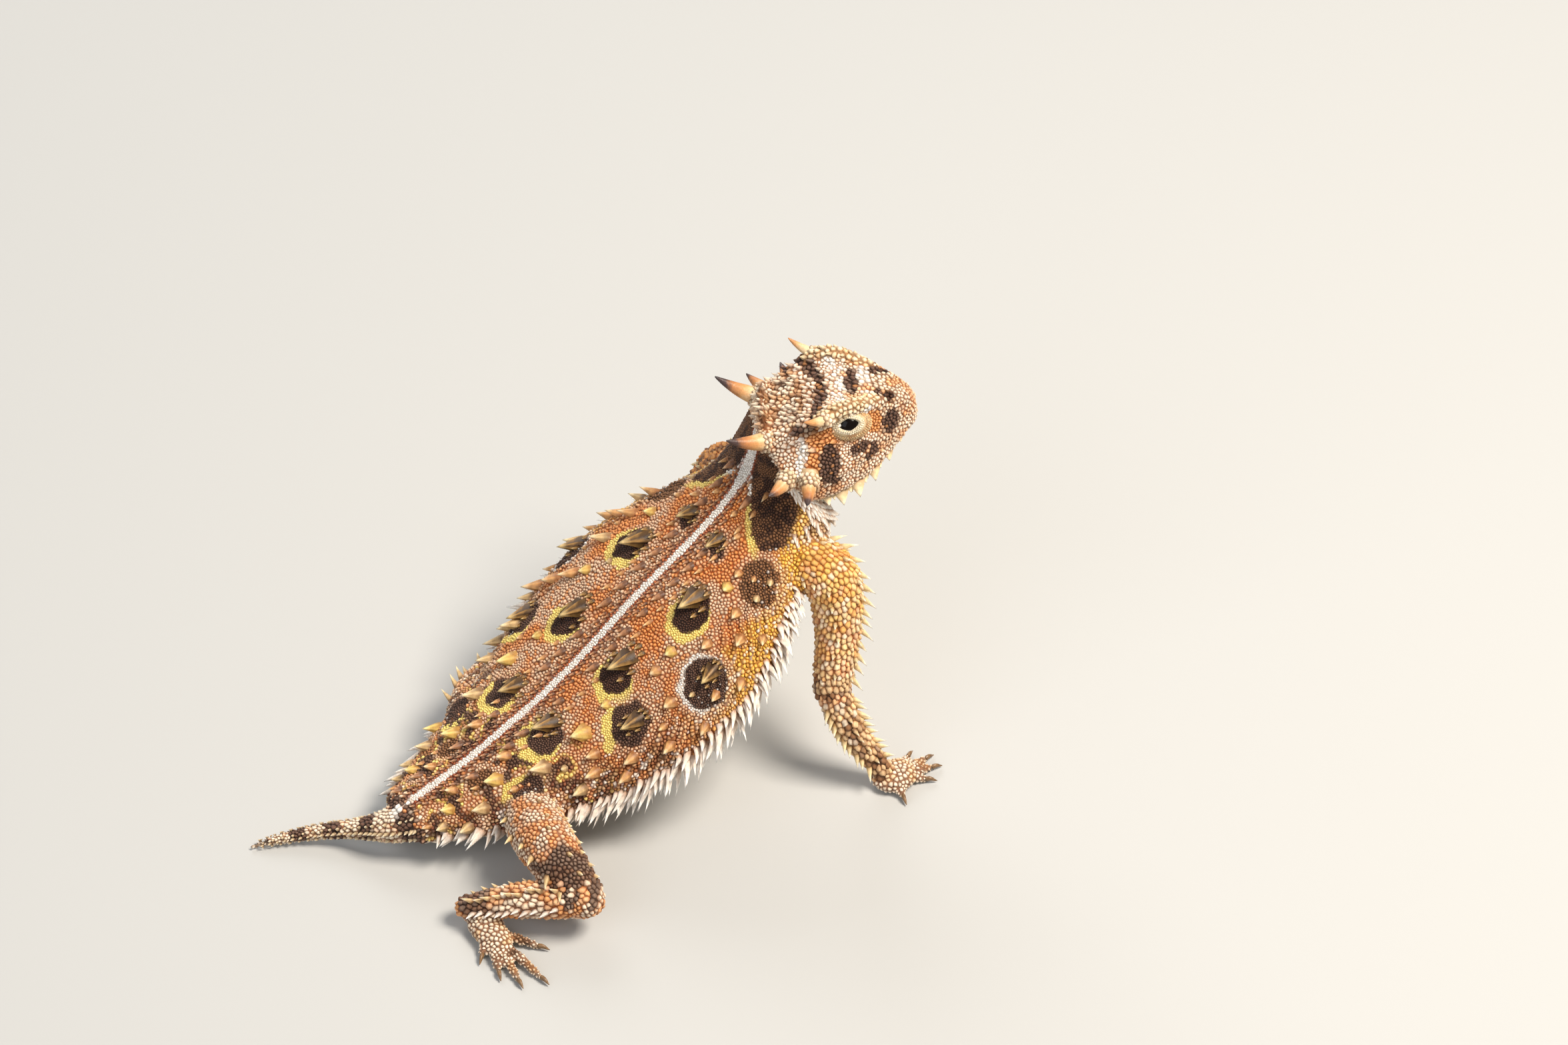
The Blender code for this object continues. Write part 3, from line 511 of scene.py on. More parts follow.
def meshArrays(data):
    # Corners and outward directions of a mesh, in body millimetres
    count = len(data.vertices)
    places, outward = np.zeros(count * 3), np.zeros(count * 3)
    data.vertices.foreach_get("co", places)
    data.vertices.foreach_get("normal", outward)
    return places.reshape(-1, 3) / mm - bodyPlace, outward.reshape(-1, 3)


def treeOf(points):
    tree = kdtree.KDTree(len(points))
    for k, point in enumerate(points):
        tree.insert(point, k)
    tree.balance()
    return tree


def lookUp(points):
    # The nearest noted places for each point: part, side, along, angle and the way scales point
    points = np.asarray(points, dtype=float)
    if "tree" not in atlas:
        atlas["tree"] = treeOf(atlas["points"])
    column = {name: np.array(atlas[name]) for name in noted}
    near = np.zeros((len(points), nearPlaces), dtype=int)
    gap = np.zeros((len(points), nearPlaces))
    for k, point in enumerate(points):
        for j, (_, index, distance) in enumerate(atlas["tree"].find_n(point, nearPlaces)):
            near[k, j] = index
            gap[k, j] = distance
    part = column["part"][near]
    weight = 1.0 / (gap + 0.05) ** 2
    weight = weight * (part == part[:, :1])
    weight = weight / weight.sum(axis=1, keepdims=True)
    turn = np.radians(column["angle"])[near]
    sine, cosine = (np.sin(turn) * weight).sum(axis=1), (np.cos(turn) * weight).sum(axis=1)
    return {
        "part": part[:, 0],
        "hind": column["hind"][near[:, 0]].astype(bool),
        "left": column["left"][near[:, 0]].astype(bool),
        "along": (column["along"][near] * weight).sum(axis=1),
        "angle": np.degrees(np.arctan2(sine, cosine)),
        "flow": unit((column["flow"][near] * weight[..., None]).sum(axis=1)),
    }


# Markings of the coat. Each is a colour in the furrows and a paler one on top of the scales. The
# darker furrow is partly the skin's own colour and partly painted shade; the paler top is partly
# the scales' own colour and partly a painted highlight.
coat = {
    "grey": ("9A582E", "E2C8AA"),
    "rust": ("A84A0E", "DC924A"),
    "gold": ("B8761E", "EFC158"),
    "amber": ("A4641C", "E8B654"),
    "brown": ("40240F", "916440"),
    "dark": ("22110A", "4C2B18"),
    "yellow": ("DDB85A", "F4E08A"),
    "white": ("D6C7B8", "FBF8F2"),
    "cream": ("8A5532", "F0DFC6"),
    "brow": ("A87444", "EEDBB2"),
    "pale": ("B06E3A", "F5E6D2"),
    "tan": ("9A6234", "E2BE90"),
    "red": ("742A12", "A8562A"),
    "orange": ("A2521A", "E2A266"),
    "belly": ("C4AC90", "F2E9DA"),
    "slate": ("2D1911", "664838"),
}
coatColours = {name: (colour(low), colour(high)) for name, (low, high) in coat.items()}

# Blotches of the back: station, degrees from the midline (each blotch with those values), half
# length, half width, turn, colour and rim
blotches = (
    (6.55, (-22.5,), 3.3, 2.5, 12, "dark", "yellow"),
    (6.6, (19.5,), 3.1, 2.4, 12, "dark", "yellow"),
    (5.15, (-16.5,), 2.8, 2.5, 10, "dark", "yellow"),
    (5.15, (15.5,), 2.7, 2.3, 10, "dark", "yellow"),
    (5.92, (-53.0,), 4.0, 3.1, 28, "slate", "white"),
    (5.8, (60.0,), 3.4, 2.6, 28, "slate", "white"),
    (4.8, (-40.0,), 3.5, 3.0, 20, "slate", "yellowPart"),
    (4.7, (48.0,), 3.2, 2.5, 20, "slate", "yellowPart"),
    (7.9, (-12.5,), 1.8, 1.5, 0, "slate", None),
    (7.85, (9.5,), 1.8, 1.6, 0, "dark", None),
    (7.9, (-50.0, 50.0), 3.6, 2.8, 24, "brown", None),
    (3.62, (-17.0, 17.0), 2.7, 2.6, 0, "slate", "yellow"),
    (2.6, (-46.0, 46.0), 2.6, 2.0, 0, "slate", "yellowPart"),
    (1.9, (-18.0, 18.0), 2.0, 1.5, 0, "brown", None),
)
# The edge of the dark patch on each side of the neck: degrees and station
neckPatchEdge = ((0, 10.6), (5, 10.1), (14, 9.5), (20, 9.05), (30, 8.65), (40, 8.5), (62, 9.0),
                 (90, 9.6))


def spun(x, y, degrees):
    spin = math.radians(degrees)
    return x * math.cos(spin) - y * math.sin(spin), x * math.sin(spin) + y * math.cos(spin)


def markings(where, points):
    # The colours in the furrows and on top of the scales at each place on the body: first the
    # trunk's ground and its blotches, then neck, midline, belly, tail, limbs and head
    part, along, angle = where["part"], where["along"], where["angle"]
    count = len(points)
    wide = grain(points, 4.6)
    middle = grain(points, 2.1, 40.0)
    fine = grain(points, 0.95, 80.0)
    degrees = np.abs(angle)
    tones = [np.zeros((count, 3)) + tone for tone in coatColours["grey"]]

    def lay(name, share):
        # Lays one colour pair over the others by its share from 0 to 1
        for k, tone in enumerate(coatColours[name]):
            tones[k] = tones[k] + (tone - tones[k]) * np.asarray(share)[:, None]

    trunkPart = part == partNumber["trunk"]
    fold = np.sin(2 * math.pi * foldPhase(along, degrees, points))
    delicate, velvet = np.zeros(count), np.zeros(count)
    sway = grain(points, 2.6, 60.0)
    rust = ramp(wide + 0.4 * middle + 0.2 * ramp(degrees, 20, 50), -0.22, 0.42)
    lay("rust", rust * 0.85)
    lay("rust", trunkPart * ramp(along, 8.2, 9.0) * ramp(-degrees, -45, -30) * 0.8)
    veins = trunkPart * ramp(-np.abs(middle + 0.25 * fine), -0.11, -0.03)
    lay("rust", veins * 0.8)
    rearFlank = ramp(-along, -6.2, -4.4) * ramp(degrees, 46, 64)
    lay("brown", rearFlank * ramp(middle + 0.3 * fine, -0.45, 0.1) * 0.9)
    rear = ramp(-along, -4.6, -3.4) * ramp(wide + 0.5 * middle, 0.0, 0.3)
    lay("brown", trunkPart * rear * 0.75)
    rump = trunkPart * ramp(-along, -4.4, -3.2)
    lay("slate", rump * ramp(middle + 0.2 * fine, 0.0, 0.12) * 0.9)
    vein = ramp(-np.abs(middle + 0.2 * fine + 0.1), -0.1, -0.05)
    lay("yellow", rump * vein * ramp(wide, -0.05, 0.1))
    gold = ramp(along, 5.0, 6.6) * ramp(degrees + 10 * middle, 47, 66)
    lay("gold", gold)
    ridge = ramp(fold + 0.5 * fine, 0.3, 1.0) * ramp(degrees, 34, 52)
    lay("tan", ridge * 0.6)
    valley = ramp(-fold, 0.2, 0.9) * ramp(degrees, 34, 52) * ramp(-along, -8.8, -8.2)
    lay("red", valley * 0.35)
    flecks = ramp(fine + 0.2 * fold, 0.34, 0.5) * ramp(degrees, 50, 66)
    lay("white", flecks * 0.6)

    for t, turns, long, short, slant, kind, rimKind in blotches:
        for turn in turns:
            headward, belliward, outward = trunkAxes(t, turn)
            offset = points - trunkPoint(t, turn)
            x = offset @ headward + 0.7 * middle + 0.45 * wide
            y = offset @ (belliward if turn > 0 else -belliward) + 0.3 * fine + 0.7 * sway
            x, y = spun(x, y, slant)
            near = trunkPart & (np.abs(offset @ outward) < 4)
            inside = np.sqrt((x / long) ** 2 + (y / short) ** 2)
            lay("grey", ramp(-inside, -1.55, -1.25) * near * 0.6)
            if rimKind == "white":
                rim = np.hypot((x + 0.1) / (long + 0.3), (y + 0.35) / (short + 0.3))
                rim = ramp(-rim, -1.06, -1.0)
                lay("white", rim * near * 0.9)
            elif rimKind:
                rim = np.hypot((x + 1.15) / (long + 0.35), (y - 0.1) / (short + 0.75))
                rim = ramp(-rim, -1.05, -1.0)
                if rimKind == "yellowPart":
                    rim = rim * ramp(-y, -0.4, 0.4)
                lay("yellow", rim * near)
            if rimKind:
                delicate = np.maximum(delicate, rim * near)
            inside = ramp(-inside, -1.04, -0.97) * near
            lay(kind, inside)
            velvet = np.maximum(velvet, inside)

    edge = np.interp(degrees, *zip(*neckPatchEdge)) + 0.05 * middle
    neckTop = trunkPart * ramp(-degrees, -66, -58)
    rim = neckTop * ramp(along, edge - 0.3, edge - 0.2) * ramp(-degrees, -42, -34)
    lay("yellow", rim)
    lay("white", rim * ramp(along, 9.2, 9.6))
    patch = neckTop * ramp(along, edge, edge + 0.04)
    lay("dark", patch)
    lay("brown", patch * ramp(middle + fine, -0.45, 0.3) * 0.85)
    where["velvet"] = np.maximum(velvet, patch)
    delicate = np.maximum(delicate, rim)
    throat = trunkPart * ramp(along, 9.0, 9.7) * ramp(degrees, 66, 78)
    lay("tan", throat * 0.8)
    lay("slate", throat * ramp(middle, 0.05, 0.3) * 0.8)

    aside = np.abs(points[:, 1])
    dorsal = trunkPart * (degrees < 50) * ramp(along, 0.2, 0.4)
    lay("red", dorsal * ramp(-aside, -1.75, -1.2) * 0.85)
    stripe = 0.6 + 0.5 * ramp(along, 9.2, 10.0)
    lay("white", dorsal * ramp(-aside, -stripe - 0.08, -stripe + 0.08))
    where["delicate"] = np.maximum(delicate, dorsal * ramp(-aside, -stripe - 0.3, -stripe))
    belly = trunkPart * ramp(degrees, 97, 107)
    lay("belly", belly)
    lay("tan", belly * ramp(middle, 0.2, 0.5) * 0.35)

    tailPart = part == partNumber["tail"]
    lay("cream", tailPart)
    toTip = np.interp(along, np.linspace(0, 1, len(tail["toTip"])), tail["toTip"])
    band = np.cos(2 * math.pi * (toTip - 2.1) / tail["bandSpacing"]) + 0.2 * fine
    lay("orange", tailPart * ramp(fine + middle, 0.1, 0.4) * 0.4)
    lay("slate", tailPart * ramp(band, 0.0, 0.25) * ramp(points[:, 2], 0.5, 1.0))
    onward = tailPart * (points[:, 2] > 6) * ramp(-aside, -0.75, -0.6) * ramp(-along, -0.26, -0.2)
    lay("white", onward)
    upper = part == partNumber["upper"]
    lower = part == partNumber["lower"]
    hind, fore = where["hind"], ~where["hind"]
    lay("amber", upper * fore)
    lay("cream", upper * fore * ramp(along + 0.35 * middle, 0.2, 0.9) * 0.7)
    lay("pale", upper * fore * ramp(fine + 0.4 * along, 0.3, 0.45) * 0.6)
    lay("orange", upper * fore * ramp(-middle + 0.3 * fine, 0.1, 0.35) * 0.6)
    lay("rust", upper * fore * ramp(middle + along, 0.75, 1.0) * 0.6)
    rows = np.array(limbs["fore_left"]["upper"])
    above = points[:, 2] - np.interp(along, np.linspace(0, 1, len(rows)), rows[:, 2])
    shoulder = upper * fore * where["left"] * ramp(-along, -0.9, -0.6) * ramp(above, -0.5, 0.8)
    lay("rust", shoulder * 0.8)
    lay("brown", shoulder * ramp(middle + 0.4 * fine, -0.1, 0.2))
    lay("tan", lower * fore)
    lay("brown", lower * fore * ramp(middle + 0.5 * fine, 0.0, 0.25))
    lay("cream", lower * fore * ramp(fine, 0.25, 0.4) * 0.8)
    lay("orange", (upper | lower) * hind * 0.7)
    lay("cream", (upper | lower) * hind * ramp(middle - fine * 0.4, -0.2, 0.2) * 0.9)
    hip = upper * hind * ramp(-along, -0.34, -0.16)
    lay("brown", hip * ramp(middle + 0.4 * fine, -0.5, 0.1) * 0.85)
    spots = np.sin(2 * math.pi * (along * 2.1 - 0.12)) + 0.5 * middle
    over = ramp(np.sin(np.radians(angle)) + 0.5 * fine, -0.3, 0.2)
    lay("slate", (upper | lower) * hind * ramp(spots, 0.35, 0.6) * over * 0.9)
    feet = (part == partNumber["palm"]) | (part == partNumber["digit"])
    lay("cream", feet)
    lay("tan", feet * ramp(middle, 0.0, 0.3) * 0.8)
    lay("brown", feet * hind * ramp(wide + 0.4 * fine, 0.12, 0.3) * 0.8)
    under = ~trunkPart * (part != partNumber["head"]) * ramp(-points[:, 2], -1.2, -0.5)
    lay("belly", under * 0.7)
    headMarkings(where, points, lay, middle, fine)
    return tones


# Patches on the head: kind, middle of the patch on the left side, radii forward, out and up, turn
headPatches = (
    ("orange", (14.0, 5.7, -1.4), (1.8, 1.6, 2.0), 0),
    ("orange", (6.4, 7.3, -1.4), (2.2, 1.8, 1.8), 0),
    ("pale", (1.6, 8.0, -2.6), (1.6, 2.6, 3.4), 0),
    ("white", (3.0, 8.6, -3.6), (0.75, 3.0, 3.4), 14),
    ("orange", (4.3, 9.6, -5.0), (1.0, 2.4, 2.8), 12),
    ("pale", (9.4, 8.6, -5.0), (1.1, 2.6, 2.6), 12),
    ("slate", (6.9, 9.2, -5.0), (1.6, 3.0, 3.3), 12),
    ("slate", (2.6, 7.0, 0.6), (1.6, 1.2, 1.1), 0),
    ("slate", (11.6, 7.5, -4.5), (1.7, 1.8, 0.95), 0),
    ("slate", (13.9, 6.6, -6.0), (0.6, 1.6, 1.7), -24),
    ("slate", (16.9, 4.6, -2.9), (1.55, 1.8, 2.3), 16),
    ("slate", (12.9, 7.2, -7.0), (0.8, 1.2, 1.0), 0),
    ("slate", (7.4, 9.8, -8.3), (1.2, 1.6, 0.7), 0),
    ("slate", (15.4, 2.4, 1.6), (0.9, 0.8, 1.0), 0),
    # A dark patch over the dented nostril: painted shade in its opening.
    ("dark", (17.0, 2.7, 0.6), (0.95, 0.8, 0.8), 0),
)


def headMarkings(where, points, lay, middle, fine):
    onHead = (where["part"] == partNumber["head"])
    place = headPlaces(points)
    f, out, up = place[:, 0], np.abs(place[:, 1]), place[:, 2]
    lay("cream", onHead)
    crown = onHead * ramp(up - 0.12 * out, -1.6, -0.6)
    lay("tan", crown * ramp(middle, -0.1, 0.3) * 0.6)
    lay("orange", crown * ramp(0.5 * fine + middle, 0.1, 0.45) * 0.6)
    cheek = onHead * (1 - ramp(up - 0.12 * out, -1.6, -0.6))
    lay("orange", cheek * ramp(0.35 * fine + middle, -0.15, 0.3) * 0.65)
    lay("pale", cheek * ramp(-0.4 * fine - middle, 0.05, 0.35) * 0.75)
    band = (ramp(f, 8.0, 8.6) * ramp(-f - 0.5 * middle, -11.6, -10.8)
            + ramp(f, 12.6, 13.1) * ramp(-f, -14.6, -14.0))
    lay("white", crown * band * ramp(-0.5 * fine - middle, -0.45, -0.1) * 0.85)
    behind = crown * ramp(-f, -6.4, -5.6) * ramp(fine + 0.4 * middle, 0.1, 0.3)
    lay("brown", behind * 0.7)
    bar = np.abs(f - (7.3 - 0.045 * out ** 2) + 0.35 * middle)
    lay("pale", crown * ramp(-np.abs(bar - 1.6), -0.9, -0.4) * ramp(-out, -7.5, -6) * 0.8)
    lay("slate", crown * ramp(-bar, -0.95, -0.7) * ramp(-out, -7.4, -7.0))
    bar = np.hypot((f - 11.9 + 0.3 * fine) / 0.95, (out + 0.3 * middle) / 2.9)
    lay("slate", crown * ramp(-bar, -1.05, -0.9))
    for kind, centre, radii, turn in headPatches:
        x, z = spun(f - centre[0] + 0.35 * middle, up - centre[2] + 0.35 * fine, turn)
        y = out - centre[1]
        inside = np.sqrt((x / radii[0]) ** 2 + (y / radii[1]) ** 2 + (z / radii[2]) ** 2)
        lay(kind, onHead * ramp(-inside, -1.06, -0.92))
    ahead, aside = zip(*[row[:2] for row in browRidge])
    ridge = np.interp(f, ahead, aside, left=99, right=99)
    ridge = np.hypot((out - ridge) / 1.15, (up - 2.6) / 1.6)
    lay("brow", onHead * ramp(-ridge, -1.15, -0.8) * 0.9)
    where["brow"] = onHead * ramp(-ridge, -1.2, -0.9)
    throat = onHead * ramp(-up, 11.6, 12.4)
    lay("belly", throat)
    lay("slate", throat * ramp(middle, 0.2, 0.4) * 0.5)


# The scales: height as a share of width, how far the rear edge runs over the next scale, how strong
# the keel is, how much the top is roughened and how far the rear rises
scaleTraits = ("height", "overlap", "keel", "rough", "rise")
scaleKinds = {
    "granule": (0.4, 0.0, 0.2, 0.08, 0.15),
    "pointed": (0.52, 0.2, 0.3, 0.05, 0.6),
    "belly": (0.24, 0.15, 0.05, 0.05, 0.3),
    "plate": (0.42, 0.05, 0.5, 0.3, 0.25),
    "keeled": (0.36, 0.5, 0.6, 0.06, 0.8),
}
kindNames = tuple(scaleKinds)
scaleRim = 8
scaleNeighbours = 13
# The least cosine at which a neighbour stops a scale, and its furthest reach for its width
scaleFacing, scaleReach = 0.18, 0.78
coverage = {"tries": 420000, "packing": 0.9, "jitter": (0.84, 1.14)}


def scaleWidths(where, points):
    # How wide the scales are at each place in millimetres, and their kind
    part, along, degrees = where["part"], where["along"], np.abs(where["angle"])
    patches = grain(points, 3.2, 21.0)
    on = {name: part == number for name, number in partNumber.items()}
    place = headPlaces(points)
    crown = place[:, 2] - 0.12 * np.abs(place[:, 1]) > -1.2
    nearEye = np.zeros(len(points))
    for side in (1, -1):
        gap = np.linalg.norm(place - eyeCentre(side), axis=1)
        nearEye = np.maximum(nearEye, ramp(-gap, -5.2, -3.6))
    face = np.where(crown, 0.72 - 0.2 * ramp(place[:, 0], 13, 19), 0.52)
    face = face + (0.4 - face) * nearEye
    face = face + (0.72 - face) * where["brow"]
    flank, belly = on["trunk"] & (degrees > 62), on["trunk"] & (degrees > 106)
    width = 0.47 + 0.12 * patches - 0.03 * ramp(along, 8.6, 9.6)
    width = np.where(flank, 0.52 + 0.1 * patches, width)
    width = width + (0.42 - width) * where["velvet"]
    width = width + (0.33 - width) * where["delicate"]
    width = np.where(belly, 0.85, width)
    width = np.where(on["head"], face, width)
    for name, fore, hind in (("upper", 0.76, 0.6), ("lower", 0.8, 0.76), ("palm", 0.62, 0.62),
                             ("digit", 0.5, 0.5)):
        width = np.where(on[name], np.where(where["hind"], hind, fore), width)
    width = np.where(on["tail"], 0.6 - 0.16 * ramp(along, 0.3, 1.0), width)
    bare = (nearEye >= 0.5) & (where["brow"] <= 0.5)
    kind = np.zeros(len(points), dtype=int)
    for name, here in (("pointed", flank), ("belly", belly),
                       ("plate", on["head"] & (crown | (place[:, 2] > -9)) & ~bare),
                       ("keeled", on["tail"] | on["lower"] | (on["upper"] & ~where["hind"]))):
        kind = np.where(here, kindNames.index(name), kind)
    return width, kind


def scatter(places, outward, triangles, where, taken, barred):
    # Places for scales all over the skin, each clear of its neighbours by their widths
    corner = places[triangles]
    area = np.cross(corner[:, 1] - corner[:, 0], corner[:, 2] - corner[:, 0])
    area = np.linalg.norm(area, axis=1) / 2
    widths, kinds = scaleWidths(where, places)
    odds = area / widths[triangles].mean(axis=1) ** 2
    chosen = chance.choice(len(triangles), size=coverage["tries"], p=odds / odds.sum())
    share = chance.random((len(chosen), 2))
    flip = share.sum(axis=1) > 1
    share[flip] = 1 - share[flip]
    weight = np.stack([1 - share.sum(axis=1), share[:, 0], share[:, 1]], axis=1)
    spots = (corner[chosen] * weight[..., None]).sum(axis=1)
    keep = ~barred(spots)
    chosen, weight, spots = chosen[keep], weight[keep], spots[keep]
    width = (widths[triangles[chosen]] * weight).sum(axis=1)
    width = width * chance.uniform(*coverage["jitter"], len(chosen))
    tree = treeOf(spots)
    free = bytearray(b"\x01") * len(spots)
    sizes = width.tolist()
    packing = coverage["packing"] * 0.5
    for point, size in taken:
        for _, k, gap in tree.find_range(point, (size + 1.0) * packing):
            if gap < (size + sizes[k]) * packing:
                free[k] = 0
    accepted = []
    for k, point in enumerate(spots):
        if free[k]:
            accepted.append(k)
            size = sizes[k]
            for _, other, gap in tree.find_range(point, size * 2.6 * packing):
                if gap < (size + sizes[other]) * packing:
                    free[other] = 0
    accepted = np.array(accepted)
    corners = triangles[chosen[accepted]]
    weight = weight[accepted]
    nearest = corners[np.arange(len(corners)), weight.argmax(axis=1)]
    found = {name: where[name][nearest]
             for name in ("part", "hind", "left", "along", "angle", "flow")}
    normal = unit((outward[corners] * weight[..., None]).sum(axis=1))
    return spots[accepted], normal, width[accepted], kinds[nearest], found


def scaleOutlines(spots, flow, side, width, solidSpots, solidWidths):
    # How far each scale reaches in each direction before it meets the scales and spines round it
    everything = np.vstack([spots, solidSpots])
    sizes = np.concatenate([width, solidWidths])
    tree = treeOf(everything)
    near = np.zeros((len(spots), scaleNeighbours), dtype=int)
    for k, point in enumerate(spots):
        near[k] = [index for _, index, _ in tree.find_n(point, scaleNeighbours + 1)[1:]]
    offset = everything[near] - spots[:, None]
    x = (offset * flow[:, None]).sum(axis=2)
    y = (offset * side[:, None]).sum(axis=2)
    flat = np.hypot(x, y) + 1e-6
    share = width[:, None] / (width[:, None] + sizes[near])
    turns = 2 * math.pi * np.arange(scaleRim) / scaleRim
    reach = np.zeros((len(spots), scaleRim))
    for k, turn in enumerate(turns):
        facing = (x * math.cos(turn) + y * math.sin(turn)) / flat
        limit = flat * share / np.maximum(facing, scaleFacing)
        limit = np.where(facing > scaleFacing, limit, 99.0)
        reach[:, k] = np.minimum(limit.min(axis=1), width * scaleReach)
    return reach


# Writes each corner's colour: the markings with their painted shade and highlights
def addMarkingsAndShade(data, colours):
    shade = data.color_attributes.new("Markings", "FLOAT_COLOR", "POINT")
    colours = np.hstack([colours, np.ones((len(colours), 1))])
    shade.data.foreach_set("color", colours.astype(np.float32).ravel())


def paintedMesh(name, points, quads, triangles, colours, roots):
    # One mesh from arrays, with its markings, which hold painted shade and highlights, and its
    # places on the unwrapped skin
    data = bpy.data.meshes.new(name)
    data.vertices.add(len(points))
    points = np.array(points)
    points[:, 2] = np.maximum(points[:, 2], skin["scaleGap"])
    data.vertices.foreach_set("co", inScene(points).astype(np.float32).ravel())
    loops = np.concatenate([quads.ravel(), triangles.ravel()]).astype(np.int32)
    starts = np.concatenate([np.arange(len(quads)) * 4,
                             len(quads) * 4 + np.arange(len(triangles)) * 3])
    data.loops.add(len(loops))
    data.loops.foreach_set("vertex_index", loops)
    data.polygons.add(len(starts))
    data.polygons.foreach_set("loop_start", starts.astype(np.int32))
    data.update(calc_edges=True)
    addMarkingsAndShade(data, colours)
    unwrap = data.uv_layers.new(name="OFBake")
    unwrap.data.foreach_set("uv", roots[loops].astype(np.float32).ravel())
    data.shade_smooth()
    data.validate()
    return addObject(name, data)


# Where each part of the body lies on the unwrapped skin: left edge, lower edge, width and height.
# Limb segments lie in rows, one for each limb.
unwrapTiles = {
    "trunk": (0.01, 0.4, 0.6, 0.58),
    "head": (0.63, 0.5, 0.36, 0.48),
    "tail": (0.63, 0.41, 0.36, 0.08),
    "limbs": (0.01, 0.01, 0.23, 0.09),
    "limbSteps": (0.245, 0.097),
}


def unwrapped(where, points):
    # Places on an unwrap of the body: trunk and limbs opened along their undersides, head flat
    part, along, turn = where["part"], where["along"], where["angle"] / 360.0 + 0.5
    left, low, wide, tall = unwrapTiles["trunk"]
    u, v = left + wide * turn, low + tall * np.clip(along / trunk["end"], 0, 1)
    place = headPlaces(points)
    left, low, wide, tall = unwrapTiles["head"]
    around = np.arctan2(place[:, 1], place[:, 2] + head["axisDepth"]) / (2 * math.pi) + 0.5
    ahead = (place[:, 0] - head["unwrapFrom"]) / head["unwrapLength"]
    onHead = part == partNumber["head"]
    u = np.where(onHead, left + wide * around, u)
    v = np.where(onHead, low + tall * np.clip(ahead, 0, 1), v)
    left, low, wide, tall = unwrapTiles["tail"]
    onTail = part == partNumber["tail"]
    u = np.where(onTail, left + wide * along, u)
    v = np.where(onTail, low + tall * turn, v)
    left, low, wide, tall = unwrapTiles["limbs"]
    across, upwards = unwrapTiles["limbSteps"]
    row = where["hind"] * 2 + where["left"]
    for k, name in enumerate(("upper", "lower", "palm", "digit")):
        here = part == partNumber[name]
        u = np.where(here, left + across * k + wide * turn, u)
        v = np.where(here, low + upwards * row + tall * np.clip(along, 0, 1), v)
    return np.stack([u, v], axis=1)


# Rings of faces up a scale: share of its reach, height as a share of the whole, how far towards the
# paler colour of its top
scaleRings = {
    2: ((0.98, -1, 0.0), (0.7, 0.68, 0.62)),
    3: ((0.98, -1, 0.0), (0.88, 0.45, 0.3), (0.5, 0.93, 0.95)),
}
unwrapPatch = 0.0015


def patchRing(turns, share):
    return np.stack([np.cos(turns), np.sin(turns)], axis=1) * share * unwrapPatch


def scaleMesh(name, rings, scales):
    # Scales as low domes: a rim in the skin, a shoulder, a crown and a peak, tilted by their kind.
    # The rim is darkened as painted shade in the furrows and the peak brightened as a painted
    # highlight.
    spots, normal, flow, side = scales["spots"], scales["normal"], scales["flow"], scales["side"]
    reach, width, low, high = scales["reach"], scales["width"], scales["low"], scales["high"]
    count = len(spots)
    traits = np.array(list(scaleKinds.values()))[scales["kind"]]
    values = {key: traits[:, k:k + 1] for k, key in enumerate(scaleTraits)}
    tall = width[:, None] * values["height"] * chance.uniform(0.75, 1.3, (count, 1))
    turns = 2 * math.pi * np.arange(scaleRim) / scaleRim
    cosine, sine = np.cos(turns)[None], np.sin(turns)[None]
    reach = reach * (1 + values["overlap"] * np.maximum(cosine, 0) ** 2)
    keel = values["keel"] * np.abs(sine)
    rough = values["rough"] * chance.normal(0, 1, (count, scaleRim))
    bright = chance.normal(1.0, 0.08, (count, 1))
    places, colours, corners = [], [], []
    for share, height, paler in scaleRings[rings]:
        out = reach * share
        if height < 0:
            lift = np.full_like(out, -0.12)
        else:
            lift = tall * height * (1 + (values["rise"] * cosine - keel + rough) * 0.6)
        places.append(spots[:, None] + flow[:, None] * (out * cosine)[..., None]
                      + side[:, None] * (out * sine)[..., None] + normal[:, None] * lift[..., None])
        # The rim sunk in the skin takes 0.82 of the furrow colour: painted shade in the furrows.
        shade = (low * 0.82 if height < 0 else low + (high - low) * paler) * bright
        colours += [shade] * scaleRim
        corners.append(patchRing(turns, share))
    peak = (spots + normal * tall * (1.05 + 0.35 * values["rise"])
            + flow * values["overlap"] * 0.35 * width[:, None])
    # The peak takes 1.1 of the top colour: a painted highlight.
    colours.append(high * bright * 1.1)
    corners.append(np.zeros((1, 2)))
    points = np.concatenate([*places, peak[:, None]], axis=1)
    colours = np.clip(np.stack(colours, axis=1), 0, 1)
    roots = scales["tile"][:, None] + np.concatenate(corners)[None]
    return domes(name, points, colours, roots, scaleRim)


def domes(name, points, colours, roots, around):
    # Joins rings of corners and a peak into closed-topped forms, one for each row of points
    count, each = points.shape[:2]
    ring = np.arange(around)
    following = (ring + 1) % around
    base = (np.arange(count) * each)[:, None, None]
    bands = []
    for k in range((each - 1) // around - 1):
        a, b = k * around, (k + 1) * around
        bands.append(np.stack([ring + a, following + a, following + b, ring + b], axis=1))
    quads = (base + np.concatenate(bands)[None]).reshape(-1, 4)
    last = each - 1 - around
    top = np.stack([ring + last, following + last, np.full(around, each - 1)], axis=1)
    triangles = (base + top[None]).reshape(-1, 3)
    return paintedMesh(name, points.reshape(-1, 3), quads, triangles, colours.reshape(-1, 3),
                       roots.reshape(-1, 2))


# Each ring of a spine: share of its length, and width as a share of its root
spineRings = ((-0.3, 1.08), (0.0, 1.0), (0.24, 0.8), (0.52, 0.5), (0.8, 0.22))


def spineOf(root, way, wide, length, radius, colours, bend=(0, 0, 0), flat=1.0, keel=0.0):
    return {"root": root, "way": way, "wide": wide, "length": length, "radius": radius,
            "colours": colours, "bend": bend, "flat": flat, "keel": keel}


